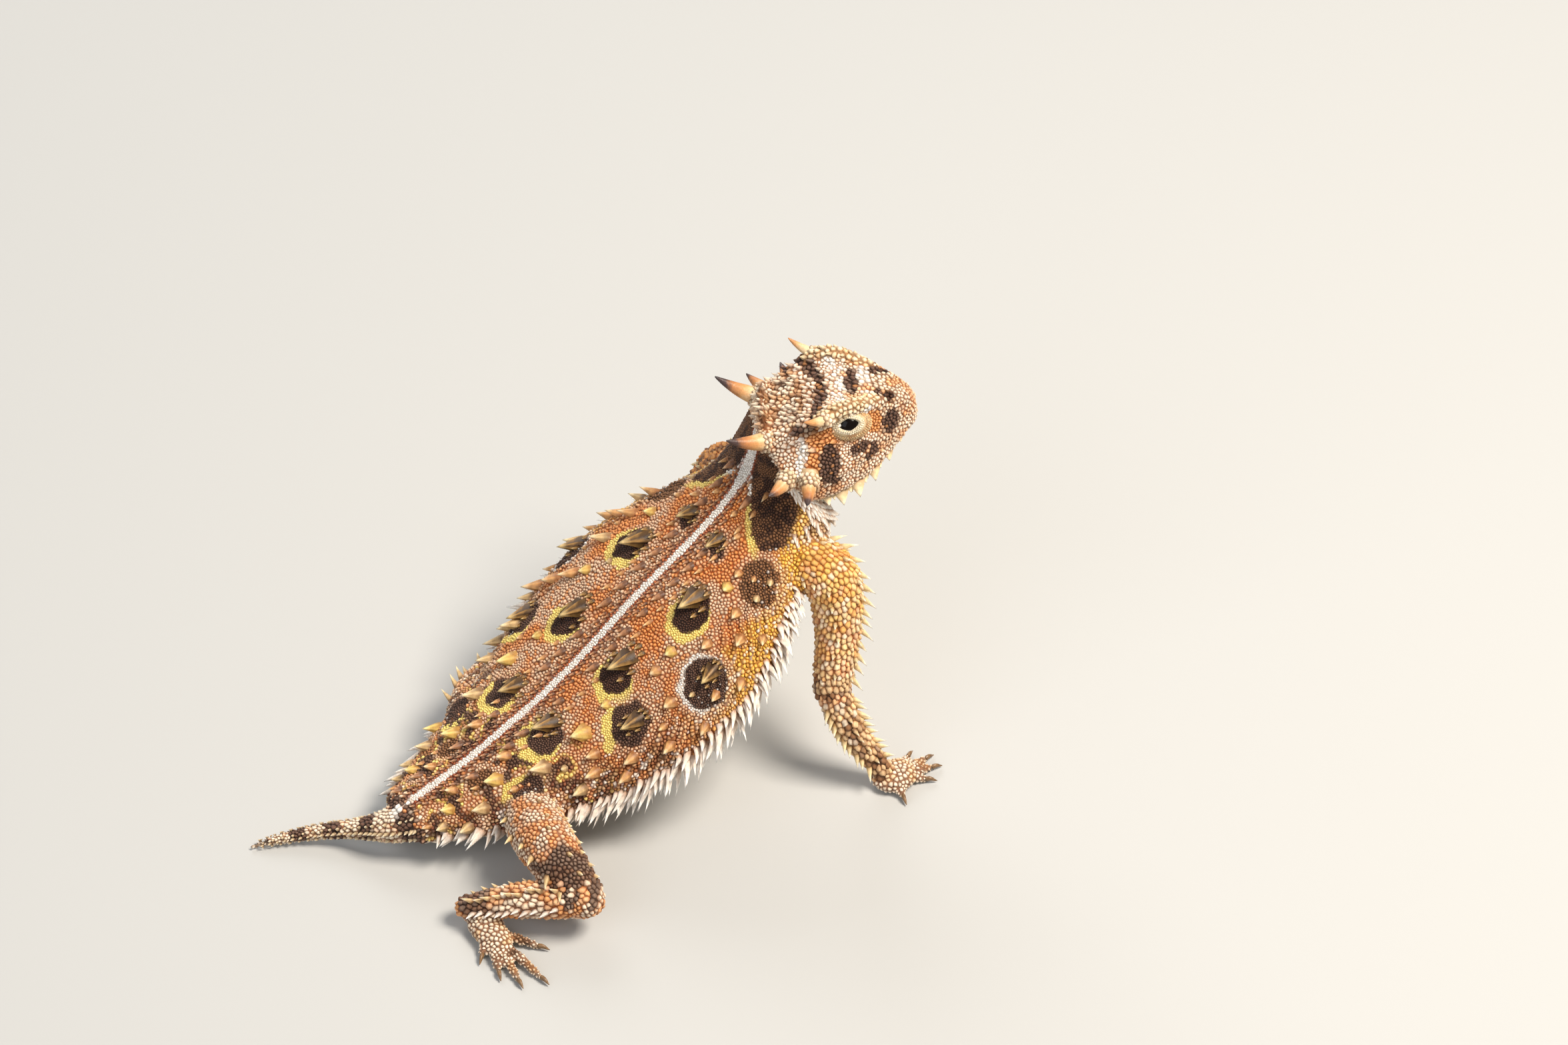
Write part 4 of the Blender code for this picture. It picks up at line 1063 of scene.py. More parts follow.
def spineMesh(name, spines, sides=6):
    # Curved tapering spines from a list of roots, directions, sizes and colours
    root, way, wide, bend = (np.array([s[key] for s in spines])
                             for key in ("root", "way", "wide", "bend"))
    length, radius, flat, keel = (np.array([s[key] for s in spines])[:, None]
                                  for key in ("length", "radius", "flat", "keel"))
    way = unit(way)
    wide = square(wide, way)
    thin = np.cross(way, wide)
    low, high, tip = (np.array([s["colours"][k] for s in spines]) for k in range(3))
    rings, colours, corners = [], [], []
    turns = 2 * math.pi * np.arange(sides) / sides
    for share, width in spineRings:
        middle = root + way * length * share + bend * length * max(share, 0) ** 2
        # Darker towards the root: partly the spine's own base colour and partly painted shade.
        paler = min(0.25 + max(share, 0) * 2.4, 1.0)
        for k, turn in enumerate(turns):
            groove = keel * (k % 2)
            reach = radius * width * (1 - groove)
            rings.append(middle + wide * reach * math.sin(turn)
                         + thin * reach * flat * math.cos(turn))
            # The grooves between the keels take nearly the root colour: painted shade.
            shade = low + (high - low) * (paler * (1 - np.minimum(groove * 2.2, 0.9)))
            colours.append(shade if share < 0.7 else shade + (tip - shade) * 0.7)
        corners.append(patchRing(turns, 1 - max(share, 0)))
    rings.append(root + way * length + bend * length)
    colours.append(tip)
    corners.append(np.zeros((1, 2)))
    colours = np.clip(np.stack(colours, axis=1), 0, 1)
    roots = unwrapped(lookUp(root), root)[:, None] + np.concatenate(corners)[None]
    return domes(name, np.stack(rings, axis=1), colours, roots, sides)


# Fringe rows along the flanks: sides, degrees, first and last station, count, length and root
# radius. Left rows start past the thigh drawn forward there.
fringeRows = (
    ((1, -1), 90, 0.3, 3.4, 13, 3.0, 1.15),
    ((1, -1), 99, 0.5, 3.3, 11, 2.1, 0.95),
    ((1, -1), 80, 0.4, 3.0, 8, 2.0, 0.95),
    ((-1,), 92, 3.0, 8.6, 46, 3.2, 1.1),
    ((-1,), 98, 3.0, 8.4, 45, 2.9, 1.02),
    ((-1,), 105, 3.0, 8.2, 40, 2.4, 0.92),
    ((-1,), 112, 3.0, 8.1, 34, 1.9, 0.8),
    ((-1,), 86, 3.2, 8.5, 40, 2.0, 0.86),
    ((1,), 92, 3.6, 8.6, 42, 3.2, 1.1),
    ((1,), 98, 4.6, 8.4, 33, 2.9, 1.02),
    ((1,), 105, 5.2, 8.2, 26, 2.4, 0.92),
    ((1,), 86, 3.6, 8.5, 37, 2.0, 0.86),
)
# Single spines of the back: station, degrees (one spine for each), length, root radius, look
backSpines = (
    (6.78, (-20,), 3.3, 1.5, "keeled"), (6.8, (18,), 3.2, 1.4, "keeled"),
    (5.38, (-15,), 3.1, 1.45, "keeled"), (5.38, (15,), 3.0, 1.35, "keeled"),
    (6.1, (-52,), 2.5, 1.15, "keeled"), (5.95, (59,), 2.8, 1.15, "keeled"),
    (4.9, (-41,), 2.6, 1.2, "keeled"), (4.8, (49,), 2.8, 1.2, "keeled"),
    (3.9, (-13, 13), 2.8, 1.3, "keeled"), (3.15, (-36, 36), 2.7, 1.2, "pale"),
    (7.98, (-10, 11), 2.1, 1.05, "keeled"), (4.2, (-29,), 2.4, 1.35, "yellow"),
    (4.15, (30,), 2.6, 1.3, "yellow"), (2.2, (-26, 26), 2.4, 1.15, "yellow"),
    (1.6, (-48, 48), 2.3, 1.0, "pale"), (2.1, (-62, 62), 2.5, 1.0, "yellow"),
    (5.87, (-28,), 1.2, 0.98, "yellow"), (5.55, (-29,), 1.3, 0.95, "tan"),
    (5.8, (28,), 1.4, 0.98, "yellow"), (7.35, (-31,), 1.1, 0.95, "yellow"),
    (7.3, (31,), 1.4, 0.95, "yellow"), (4.75, (-24,), 1.1, 0.85, "yellow"),
    (4.7, (24,), 1.1, 0.85, "yellow"), (5.4, (-46.5,), 1.5, 1.05, "tan"),
    (5.4, (47,), 2.2, 1.05, "tan"), (6.8, (-55,), 1.8, 0.95, "tan"), (6.8, (55,), 2.4, 0.95, "tan"),
    (6.3, (-73,), 1.9, 0.85, "tan"), (6.3, (73,), 2.2, 0.85, "tan"),
    (5.5, (-75,), 1.8, 0.85, "tan"), (5.5, (75,), 2.2, 0.85, "tan"), (5.0, (-68,), 2.0, 0.9, "tan"),
    (5.0, (68,), 2.3, 0.9, "pale"), (4.5, (-60,), 2.1, 0.95, "tan"),
    (4.5, (60,), 2.4, 0.95, "pale"), (3.9, (-56,), 2.2, 0.95, "tan"),
    (3.9, (56,), 2.5, 0.95, "pale"), (7.0, (42,), 2.6, 0.95, "tan"),
    (6.35, (37,), 2.8, 1.0, "pale"), (5.65, (34,), 2.8, 1.0, "tan"),
    (7.1, (-44,), 1.6, 0.85, "tan"), (6.35, (-40,), 1.5, 0.9, "tan"),
    (4.6, (50,), 3.0, 1.05, "pale"), (7.6, (58,), 2.6, 0.9, "tan"), (3.3, (56,), 2.8, 1.0, "pale"),
    (7.75, (-33,), 1.2, 0.7, "tan"), (8.4, (-20,), 1.0, 0.6, "tan"), (8.4, (20,), 1.2, 0.6, "tan"),
    (8.8, (-10,), 0.9, 0.55, "tan"), (8.9, (9,), 0.9, 0.55, "tan"), (4.1, (-44,), 1.7, 0.9, "tan"),
    (7.1, (-70,), 1.6, 0.75, "tan"), (5.9, (-64,), 1.5, 0.8, "tan"),
    (2.7, (-14, 14), 1.9, 0.9, "tan"), (1.3, (-16, 16), 1.6, 0.8, "tan"),
    (0.95, (-36, 36), 1.8, 0.9, "yellow"), (0.6, (-62, 62), 1.6, 0.8, "pale"),
    (1.1, (-72, 72), 2.0, 0.95, "pale"), (2.6, (-74, 74), 2.2, 1.0, "tan"),
    (3.5, (-66,), 2.2, 0.95, "pale"), (3.5, (66,), 3.0, 1.1, "pale"),
    (4.25, (-71,), 2.0, 0.9, "tan"), (4.25, (70,), 3.0, 1.1, "pale"), (5.2, (64,), 3.1, 1.1, "tan"),
    (6.0, (69,), 2.8, 1.05, "pale"), (6.65, (66,), 2.6, 1.0, "tan"),
    (7.3, (64,), 2.4, 0.95, "pale"),
)
# Rows of keeled spines beside the midline: millimetres from it, spacing, length, root radius
midlineRows = ((1.25, 1.0, 0.75, 0.36), (2.1, 1.7, 0.8, 0.36), (3.1, 3.4, 1.6, 0.8),
               (5.0, 2.9, 1.1, 0.5))
# Colours of spines: in the grooves and at the root, partly the spine's own darker base and partly
# painted shade; along the body; and at the tip
spineLooks = {
    "keeled": ("2A170C", "B68A4E", "E8CC90"),
    "pale": ("6E452A", "E2C18A", "F4E3BC"),
    "yellow": ("9C662A", "EBC870", "F6E6AA"),
    "tan": ("80471F", "DCA96E", "F2DCB2"),
    "midline": ("3A170C", "B58058", "E0BC94"),
    "white": ("A8764E", "F5ECE0", "FFFDF8"),
    "limb": ("84502B", "E6C894", "F6E9CE"),
    "tail": ("6E4828", "DCC49C", "F2E6CC"),
    "jaw": ("9A5C30", "EDD3A6", "F8EACB"),
    "arm": ("A87430", "F0DDAE", "FCF5E6"),
}
spineColours = {name: tuple(colour(code) for code in codes) for name, codes in spineLooks.items()}
tubercles = {"tries": 400, "spacing": 1.7, "length": (0.8, 1.3), "radius": (0.55, 0.8)}
limbAxes = []
for limbName, limbShape in limbs.items():
    for segment in ("upper", "lower"):
        rows = np.array(limbShape[segment], dtype=float)
        limbAxes.extend(zip(rows[:-1], rows[1:]))


def insideLimb(point, margin=0.0):
    for near, far in limbAxes:
        run = far[:3] - near[:3]
        share = min(max(np.dot(point - near[:3], run) / np.dot(run, run), 0.0), 1.0)
        radius = near[3] + (far[3] - near[3]) * share
        if np.linalg.norm(point - near[:3] - run * share) < radius + margin:
            return True
    return False


def trunkSpineAt(t, angle, length, radius, look, lean=0.9, keel=0.0, flat=1.0):
    # A spine rooted in the trunk's skin, leaning towards the tail
    headward, _, outward = trunkAxes(t, angle)
    way = unit(outward - headward * lean)
    return spineOf(trunkPoint(t, angle, -skin["coatDepth"]), way, np.cross(outward + headward, way),
                   length, radius, spineColours[look], -headward * 0.12 + upward * 0.05, flat, keel)


def clearOf(spines, root, radius, share=0.9):
    return all(np.linalg.norm(root - s["root"]) > (s["radius"] + radius) * share for s in spines)


# Small spines round a broad one: towards the tail and aside in its radii, and size. Stations are
# about 8 mm apart there.
spineSkirt = ((0.3, 1.45, 0.36), (0.3, -1.45, 0.34), (-1.1, 0.8, 0.3), (-1.1, -0.8, 0.28),
              (-1.3, 0.0, 0.3), (1.3, 1.1, 0.26), (1.3, -1.1, 0.26))


def backSpineList():
    # The broad spines of the back, each with a skirt of small ones
    spines = []
    for t, angles, length, radius, look in backSpines:
        for angle in angles:
            if look != "keeled":
                made = trunkSpineAt(t, angle, length * 0.95, radius * 1.1, look, 0.8, 0.2, 0.85)
            else:
                made = trunkSpineAt(t, angle, length * 1.1, radius * 1.24, look, 1.15, 0.42, 0.85)
            if insideLimb(made["root"], 0.2):
                continue
            spines.append(made)
            if look == "keeled":
                step, turn = radius / 8.0, math.degrees(radius / trunkFrame(t)[3])
                for back, aside, share in spineSkirt:
                    spines.append(trunkSpineAt(t - back * step, angle + aside * turn,
                                               length * share, radius * 0.36, look, 1.0, 0.3,
                                               0.85))
    return spines


def trunkSpineList(broad):
    spines = list(broad)
    for sides, degrees, first, last, count, longest, widest in fringeRows:
        for side in sides:
            for k in range(count):
                share = (k + 0.5 + dice.uniform(-0.3, 0.3)) / count
                t = first + (last - first) * share
                swell = 0.62 + 0.38 * math.sin(math.pi * share)
                angle = (degrees + dice.uniform(-3, 3)) * side
                length = longest * swell * dice.uniform(0.58, 1.28)
                length = length * (1 + 0.3 * ramp(-t, -6.0, -4.5) * ramp(t, 3.0, 3.8))
                radius = widest * (0.7 + 0.3 * swell) * dice.uniform(0.85, 1.1)
                lean = dice.uniform(0.15, 1.0)
                made = trunkSpineAt(t, angle, length, radius, "white", lean, 0.15, 0.5)
                swing = (-0.1, dice.uniform(-0.16, 0.16), dice.uniform(-0.3, 0.0))
                made["bend"] = made["bend"] + np.array(swing)
                tip = made["root"] + made["way"] * length
                if not insideLimb(made["root"], 0.2) and not insideLimb(tip, 0.1):
                    spines.append(made)
    for aside, spacing, length, radius in midlineRows:
        for side in (1, -1):
            dice.random()  # a draw that keeps the later ones in their order
            t = 0.3
            while t < 9.9:
                back, _, _, width = trunkFrame(t)
                ahead = np.linalg.norm(trunkFrame(min(t + 0.1, 10))[0] - back) * 10
                share = min((aside + dice.uniform(-0.15, 0.15)) / width, 1)
                angle = side * math.degrees(math.asin(share ** (1 / trunk["squareness"])))
                grow = dice.uniform(0.8, 1.2)
                if clearOf(spines, trunkPoint(t, angle), radius):
                    look = "midline" if aside < 4 else "tan"
                    spines.append(trunkSpineAt(t, angle, length * grow, radius, look, 1.4, 0.2,
                                               0.75))
                t += spacing * dice.uniform(0.85, 1.15) / max(ahead, 1.0)
    for _ in range(tubercles["tries"]):
        t, angle = dice.uniform(0.5, 8.6), dice.choice((-1, 1)) * dice.uniform(20, 86)
        root = trunkPoint(t, angle)
        grow = 0.7 + 0.6 * ramp(abs(angle), 40, 80)
        radius = dice.uniform(*tubercles["radius"]) * (0.85 + 0.15 * grow)
        room = radius + tubercles["spacing"] * dice.uniform(0.5, 1.5)
        if clearOf(spines, root, room, 1.0) and not insideLimb(root, 0.4):
            length = dice.uniform(*tubercles["length"]) * grow
            look = dice.choice(("tan", "tan", "pale"))
            spines.append(trunkSpineAt(t, angle, length, radius, look, 0.9, 0.15, 0.85))
    return spines[len(broad):]


# Rows along the limbs: which segment, the way they face on the left side, count, length, look
limbRows = (
    ("fore", "upper", (0.9, 0.5, 0.1), 13, 2.3, "arm"),
    ("fore", "upper", (0.95, 0.1, 0.1), 12, 1.5, "arm"),
    ("fore", "upper", (0.55, 0.85, 0.1), 9, 0.9, "arm"),
    ("fore", "upper", (-0.6, 0.8, 0.0), 8, 0.9, "arm"),
    ("fore", "lower", (0.9, 0.4, 0.1), 9, 1.8, "arm"),
    ("fore", "lower", (-0.9, 0.3, 0.1), 9, 1.9, "arm"),
    ("fore", "lower", (0.1, 1.0, 0.1), 6, 0.9, "limb"),
    ("hind", "upper", (-0.9, 0.2, 0.3), 6, 2.0, "pale"),
    ("hind", "upper", (0.8, 0.1, 0.6), 9, 0.9, "limb"),
    ("hind", "upper", (0.1, 0.1, 0.9), 5, 1.0, "limb"),
    ("hind", "lower", (-0.5, 0.1, 0.8), 9, 1.5, "limb"),
    ("hind", "lower", (-0.4, 0.9, 0.1), 10, 1.5, "white"),
    ("hind", "lower", (0.5, -0.5, 0.5), 7, 1.0, "limb"),
)


def limbSpineList():
    spines = []
    for name, limb in limbs.items():
        kind, word = name.split("_")
        for which, segment, toward, count, length, look in limbRows:
            if which != kind:
                continue
            rows = np.array(limb[segment], dtype=float)
            toward = mirrored(toward, 1 if word == "left" else -1)
            for k in range(count):
                share = 0.16 + 0.8 * (k + 0.5 + dice.uniform(-0.2, 0.2)) / count
                t = (len(rows) - 1) * share
                here = smoothRow(rows, t)
                ahead = unit(smoothRow(rows, t + 0.05)[:3] - here[:3])
                out = toward + np.array([dice.uniform(-0.12, 0.12) for _ in range(3)])
                out = unit(out - ahead * np.dot(out, ahead))
                root = here[:3] + out * (here[3] - skin["coatDepth"])
                spines.append(spineOf(root, unit(out + ahead * 0.75), ahead,
                                      length * dice.uniform(0.75, 1.15), 0.3 + 0.2 * length ** 0.5,
                                      spineColours[look], ahead * 0.15, 0.8, 0.15))
    return spines


# Rows of spines round the tail: how far above its sides in radians, count, length
tailRows = ((0.35, 26, 0.9), (-0.25, 22, 0.6), (0.9, 20, 0.5))


def tailSpineList():
    spines = []
    rows = tail["stations"]
    for turn, count, length in tailRows:
        for side in (1, -1):
            for k in range(count):
                share = (k + 0.5) / count
                t = 0.9 + (len(rows) - 2.2) * share
                here = smoothRow(rows, t)
                ahead = unit(smoothRow(rows, t + 0.05)[:3] - here[:3])
                across = unit(np.cross(upward, ahead)) * side
                out = unit(across * math.cos(turn) + upward * math.sin(turn))
                root = (here[:3] + across * here[3] * math.cos(turn) * 0.92
                        + upward * here[4] * math.sin(turn) * 0.9)
                grow = (1 - 0.62 * share) * dice.uniform(0.8, 1.15)
                spines.append(spineOf(root, unit(out + ahead * 0.9), ahead, length * grow,
                                      0.42 * grow + 0.08, spineColours["tail"], ahead * 0.1, 0.8,
                                      0.1))
    return spines


# Rows of pointed scales on the neck and under the jaw: first and last place (station, degrees),
# count, length, root radius. The right and left sides match.
neckRows = (
    ((10.95, 64), (10.35, 132), 16, 1.6, 0.6), ((10.7, 66), (10.1, 130), 16, 1.5, 0.58),
    ((10.45, 68), (9.85, 128), 15, 1.4, 0.55), ((10.2, 70), (9.6, 124), 14, 1.3, 0.52),
    ((9.95, 72), (9.35, 120), 13, 1.2, 0.48), ((9.65, 74), (9.0, 104), 9, 1.2, 0.46),
    ((9.3, 66), (8.7, 92), 9, 1.2, 0.42),
)
# Plates along the jaw: distance forward, length, root radius
jawPlates = ((5.8, 2.0, 0.95), (8.2, 2.7, 1.45), (10.9, 2.8, 1.45), (13.6, 2.3, 1.25),
             (16.0, 1.6, 0.95), (17.9, 1.0, 0.65))
# Small horny points on the back of the crown and along the brow
crownSpines = {"tries": 900, "spacing": 0.85, "length": (0.7, 1.2), "radius": (0.4, 0.55)}


def headSpineList(places, outward, where, low, high):
    spines = []
    onHead = where["part"] == partNumber["head"]
    local = headPlaces(places)
    crown = np.flatnonzero(onHead & (local[:, 2] > -1.9 - 0.1 * np.abs(local[:, 1])))
    for k in crown[dice.sample(range(len(crown)), min(crownSpines["tries"], len(crown)))]:
        root, normal = places[k], outward[k]
        grow = 1 - 0.4 * ramp(local[k, 0], 6.0, 13.0)
        radius = dice.uniform(*crownSpines["radius"]) * grow
        room = radius + crownSpines["spacing"] * (0.3 + 1.1 * (1 - grow))
        if clearOf(spines, root, room) and not insideHorn(root, 0.5):
            # The root and grooves take 0.7 of the furrow colour: painted shade.
            spines.append(spineOf(root, unit(normal * 0.9 - headTurn @ forward * 0.8), normal,
                                  dice.uniform(*crownSpines["length"]) * grow, radius,
                                  (low[k] * 0.7, high[k], high[k] * 0.8),
                                  headTurn @ np.array((-0.1, 0, 0.1)), 1.0, 0.15))
    for first, last, count, length, radius in neckRows:
        for side in (1, -1):
            for k in range(count):
                share = k / max(count - 1, 1)
                t = first[0] + (last[0] - first[0]) * share + dice.uniform(-0.05, 0.05)
                angle = (first[1] + (last[1] - first[1]) * share) * side
                made = trunkSpineAt(t, angle, length * dice.uniform(0.75, 1.15), radius, "white",
                                    0.25, 0.12, 0.7)
                made["way"] = unit(made["way"] - upward * 1.1)
                spines.append(made)

    onHead = np.flatnonzero(onHead)
    headTree = treeOf(places[onHead])
    ahead = [row[0] for row in head["sections"]]
    edge = np.array([row[-2] for row in head["sections"]])
    # A jaw plate and the small ones before and behind it: step, length, radius, flatness, bend
    plates = ((0.0, 1.0, 1.0, 0.5, headTurn @ np.array((-0.08, 0, 0.1))),
              (1.5, 0.45, 0.5, 0.4, (0, 0, 0)), (-1.4, 0.45, 0.5, 0.4, (0, 0, 0)))
    for place, length, radius in jawPlates:
        out, up = np.interp(place, ahead, edge[:, 0]), np.interp(place, ahead, edge[:, 1])
        for side in (1, -1):
            way = headTurn @ unit(np.array((0.12, 0.8 * side, -0.55)))
            for step, size, wide, flat, bend in plates:
                k = onHead[headTree.find(inHead((place + step, (out - 0.5) * side, up + 0.4)))[1]]
                spines.append(spineOf(places[k] - outward[k] * 0.25, way, headTurn @ forward,
                                      length * size, radius * wide, spineColours["jaw"], bend,
                                      flat))
    return spines


# Horns in the head's own axes: root, tip and root radius on the left side
horns = {
    "horn_occipital": ((0.2, 4.1, -2.5), (-7.3, 6.9, 0.8), 1.75),
    "horn_temporal_rear": ((0.6, 9.2, -5.9), (-2.6, 13.2, -5.4), 1.45),
    "horn_temporal_front": ((3.6, 10.3, -5.8), (2.6, 15.4, -6.3), 1.45),
    "horn_superciliary": ((7.6, 6.9, 2.2), (4.0, 9.1, 4.0), 1.05),
}
hornProfile = ((0.0, 1.0), (0.12, 0.98), (0.25, 0.93), (0.32, 0.9), (0.36, 0.82), (0.5, 0.7),
               (0.65, 0.56), (0.78, 0.41), (0.9, 0.24), (0.97, 0.12), (1.0, 0.05))

# How far each horn's colours reach towards the dark of an occipital tip
hornShades = {"horn_temporal_rear": 0.9, "horn_temporal_front": 0.98, "horn_superciliary": 0.7}


def hornRows(horn, side):
    root, tip, radius = horn
    root, tip = inHead(mirrored(root, side)), inHead(mirrored(tip, side))
    ahead = unit(tip - root)
    start = root - ahead * 1.1
    length = np.linalg.norm(tip - start)
    sag = headTurn @ np.array((0.0, 0.0, -0.09 * length))
    rows = []
    for share, thick in hornProfile:
        middle = start + (tip - start) * share + sag * 4 * share * (1 - share)
        rows.append((*middle, radius * thick * 0.97, radius * thick * 0.97))
    return np.array(rows)


def insideHorn(point, margin):
    for horn in horns.values():
        for side in (1, -1):
            rows = hornRows(horn, side)
            if (np.linalg.norm(rows[:, :3] - point, axis=1) < rows[:, 3] + margin).any():
                return True
    return False


# The scaly sheath round the root of each horn: where it ends along the horn and its scales' width
hornCollar = {"from": 0.14, "to": 0.4, "width": 0.72,
              "colours": (("8A5A34", "E8D6B4"), ("9A6238", "F1E4CA"))}


def rowScales(rows, width, kind, spread):
    # Finishes scales set out in rows: each has a spot, normal, direction and two colours
    spots, normal, flow = (np.array([row[k] for row in rows]) for k in range(3))
    low, high = (np.array([colour(row[k]) for row in rows]) for k in (3, 4))
    sizes = width * chance.uniform(0.9, 1.15, len(rows))
    flow = square(flow, normal)
    return {"spots": spots, "normal": normal, "flow": flow, "side": np.cross(normal, flow),
            "width": sizes, "kind": np.full(len(rows), kindNames.index(kind)),
            "reach": np.full((len(rows), scaleRim), spread) * sizes[:, None],
            "low": low, "high": high, "tile": unwrapped(lookUp(spots), spots)}


def hornScales():
    made = []
    reaches = [share for share, _ in hornProfile]
    for horn in horns.values():
        for side in (1, -1):
            rows = hornRows(horn, side)
            surface = tube(rows, headTurn @ upward)
            ahead = rows[-1][:3] - rows[0][:3]
            reach, row = hornCollar["from"], 0
            while reach < hornCollar["to"]:
                share = np.interp(reach, reaches, np.arange(len(reaches))) / (len(reaches) - 1)
                middle = smoothRow(rows, share * (len(rows) - 1))
                around = max(int(2 * math.pi * middle[3] / hornCollar["width"]), 5)
                for k in range(around):
                    here = surface(share, 360 * (k + 0.5 * (row % 2)) / around, -0.05)
                    shades = hornCollar["colours"][dice.randrange(2)]
                    made.append((here, unit(here - middle[:3]), unit(ahead), *shades))
                reach += hornCollar["width"] * 0.82 / np.linalg.norm(ahead)
                row += 1
    return rowScales(made, hornCollar["width"], "keeled", 0.58)


def addValues(thing, name, values):
    # A value at each corner of a mesh, for its material
    shade = thing.data.attributes.new(name, "FLOAT", "POINT")
    shade.data.foreach_set("value", values.astype(np.float32))


def buildHorns(look):
    for name, horn in horns.items():
        for side, word in ((1, "left"), (-1, "right")):
            rows = hornRows(horn, side)
            surface = tube(rows, headTurn @ upward)
            mesh = bmesh.new()
            wrapped(mesh, surface, 40, 24)
            bmesh.ops.recalc_face_normals(mesh, faces=mesh.faces)
            thing = objectFrom(f"{name}_sheath_{word}", mesh)
            start, tip = rows[0][:3], rows[-1][:3]
            run = tip - start
            reach = (meshArrays(thing.data)[0] - start) @ run / np.dot(run, run)
            addValues(thing, "Reach", reach.astype(np.float32) * hornShades.get(name, 1.0))
            finish(thing, look, [f"{name}_{word}"])


# Eyes and lids in the head's own axes, on the left side. The lids face a little upwards.
eye = {
    "centre": (10.4, 5.2, -1.15),
    "radius": 2.2,
    "tilt": 36.0,
    "lidRadii": (3.35, 2.85, 2.5),
    "opening": (32.0, 25.0),
    "slant": 4.0,
}


def eyeAxes(side):
    # Forward, out through the opening, and up, as rows
    tilt = math.radians(eye["tilt"])
    return np.array(((1, 0, 0), (0, math.cos(tilt) * side, math.sin(tilt)),
                     (0, -math.sin(tilt) * side, math.cos(tilt))))


def eyeCentre(side):
    return mirrored(eye["centre"], side)


def eyeOpening(angle):
    # How many degrees the opening reaches from the middle of the eye in that direction
    turn = math.radians(angle)
    wide, high = eye["opening"]
    corner = 1.0 - 0.13 * abs(math.sin(2 * turn)) - 0.04 * math.sin(turn) ** 2
    return corner * wide * high / math.hypot(high * math.cos(turn), wide * math.sin(turn))


# Steps over a lid: share, degrees past the opening's edge and size, from inside the rim outwards
lidSteps = ((0.0, -0.5, 0.76), (0.06, -0.8, 0.86), (0.11, -0.2, 0.935), (0.16, 1.6, 0.975),
            (0.22, 4.0, 0.985), (0.3, 7.0, 0.965), (0.38, 10.0, 0.985))


def lidPoint(share, angle, side):
    rim = eyeOpening(angle)
    keys = [step[0] for step in lidSteps] + [1.0]
    polar = math.radians(np.interp(share, keys, [rim + step[1] for step in lidSteps] + [116.0]))
    grow = np.interp(share, keys, [step[2] for step in lidSteps] + [1.0])
    if share > 0.4:
        grow += 0.012 * math.sin(share * 62.0)
    turn = math.radians(angle + eye["slant"])
    way = np.array((math.sin(polar) * math.cos(turn), math.cos(polar),
                    math.sin(polar) * math.sin(turn)))
    return inHead(eyeCentre(side) + (way * eye["lidRadii"] * grow) @ eyeAxes(side))


# Beads over the lids: first and last share of the way back, width, colours by the rim and behind
lidBeads = {"from": 0.2, "to": 0.8, "width": 0.32, "rim": ("B99A70", "F4EAD0"),
            "behind": (("9A6A40", "E6CFA2"), ("A07044", "DDBE8C"), ("8A5A38", "D2A674"))}


def lidScales():
    made = []
    for side in (1, -1):
        heart = inHead(eyeCentre(side))
        share, row = lidBeads["from"], 0
        while share < lidBeads["to"]:
            ring = [lidPoint(share, angle, side) for angle in range(0, 360, 10)]
            girth = sum(np.linalg.norm(a - b) for a, b in zip(ring, ring[1:] + ring[:1]))
            around = int(girth / lidBeads["width"])
            for k in range(around):
                here = lidPoint(share, 360 * (k + 0.5 * (row % 2)) / around, side)
                shades = lidBeads["rim"] if row < 2 else lidBeads["behind"][dice.randrange(3)]
                flow = lidPoint(share + 0.02, 360 * k / around, side) - here
                made.append((here, unit(here - heart), flow, *shades))
            ahead = lidPoint(share + 0.02, 90, side) - lidPoint(share, 90, side)
            ahead = np.linalg.norm(ahead) / 0.02
            share += lidBeads["width"] * 0.85 / ahead
            row += 1
    return rowScales(made, lidBeads["width"], "granule", 0.56)


def buildEyes(eyeLook, lidLook):
    for side, word in ((1, "left"), (-1, "right")):
        centre = eyeCentre(side)
        mesh = bmesh.new()
        middle = inHead(centre + eyeAxes(side)[1] * 0.3)
        size = Matrix.Scale(eye["radius"] * mm, 4)
        bmesh.ops.create_uvsphere(mesh, u_segments=48, v_segments=32, radius=1.0,
                                  matrix=Matrix.Translation(inScene(middle)) @ size)
        finish(objectFrom("eyeball_" + word, mesh), eyeLook, ["eye_" + word])
        mesh = bmesh.new()
        bmesh.ops.create_grid(mesh, x_segments=72, y_segments=48, size=1.0)
        for vertex in mesh.verts:
            vertex.co = inScene(lidPoint((vertex.co.y + 1) / 2, (vertex.co.x + 1) * 180.0, side))
        bmesh.ops.remove_doubles(mesh, verts=mesh.verts, dist=0.000001)
        bmesh.ops.recalc_face_normals(mesh, faces=mesh.faces)
        heart = Vector(inScene(inHead(centre)))
        outside = sum((face.calc_center_median() - heart).dot(face.normal) > 0
                      for face in mesh.faces)
        if outside < len(mesh.faces) / 2:
            bmesh.ops.reverse_faces(mesh, faces=mesh.faces)
        thing = objectFrom("eyelid_" + word, mesh)
        local = (headPlaces(meshArrays(thing.data)[0]) - centre) @ eyeAxes(side).T
        half = np.sin(np.radians(eye["opening"])) * np.array(eye["lidRadii"])[[0, 2]]
        edge = np.hypot(local[:, 0] / half[0], local[:, 2] / half[1])
        addValues(thing, "Rim", ramp(-edge, -1.4, -1.1))
        finish(thing, lidLook)


# A claw's half width at shares of its length
clawProfile = ((0, 0.42), (0.25, 0.4), (0.5, 0.32), (0.75, 0.2), (1, 0.05))


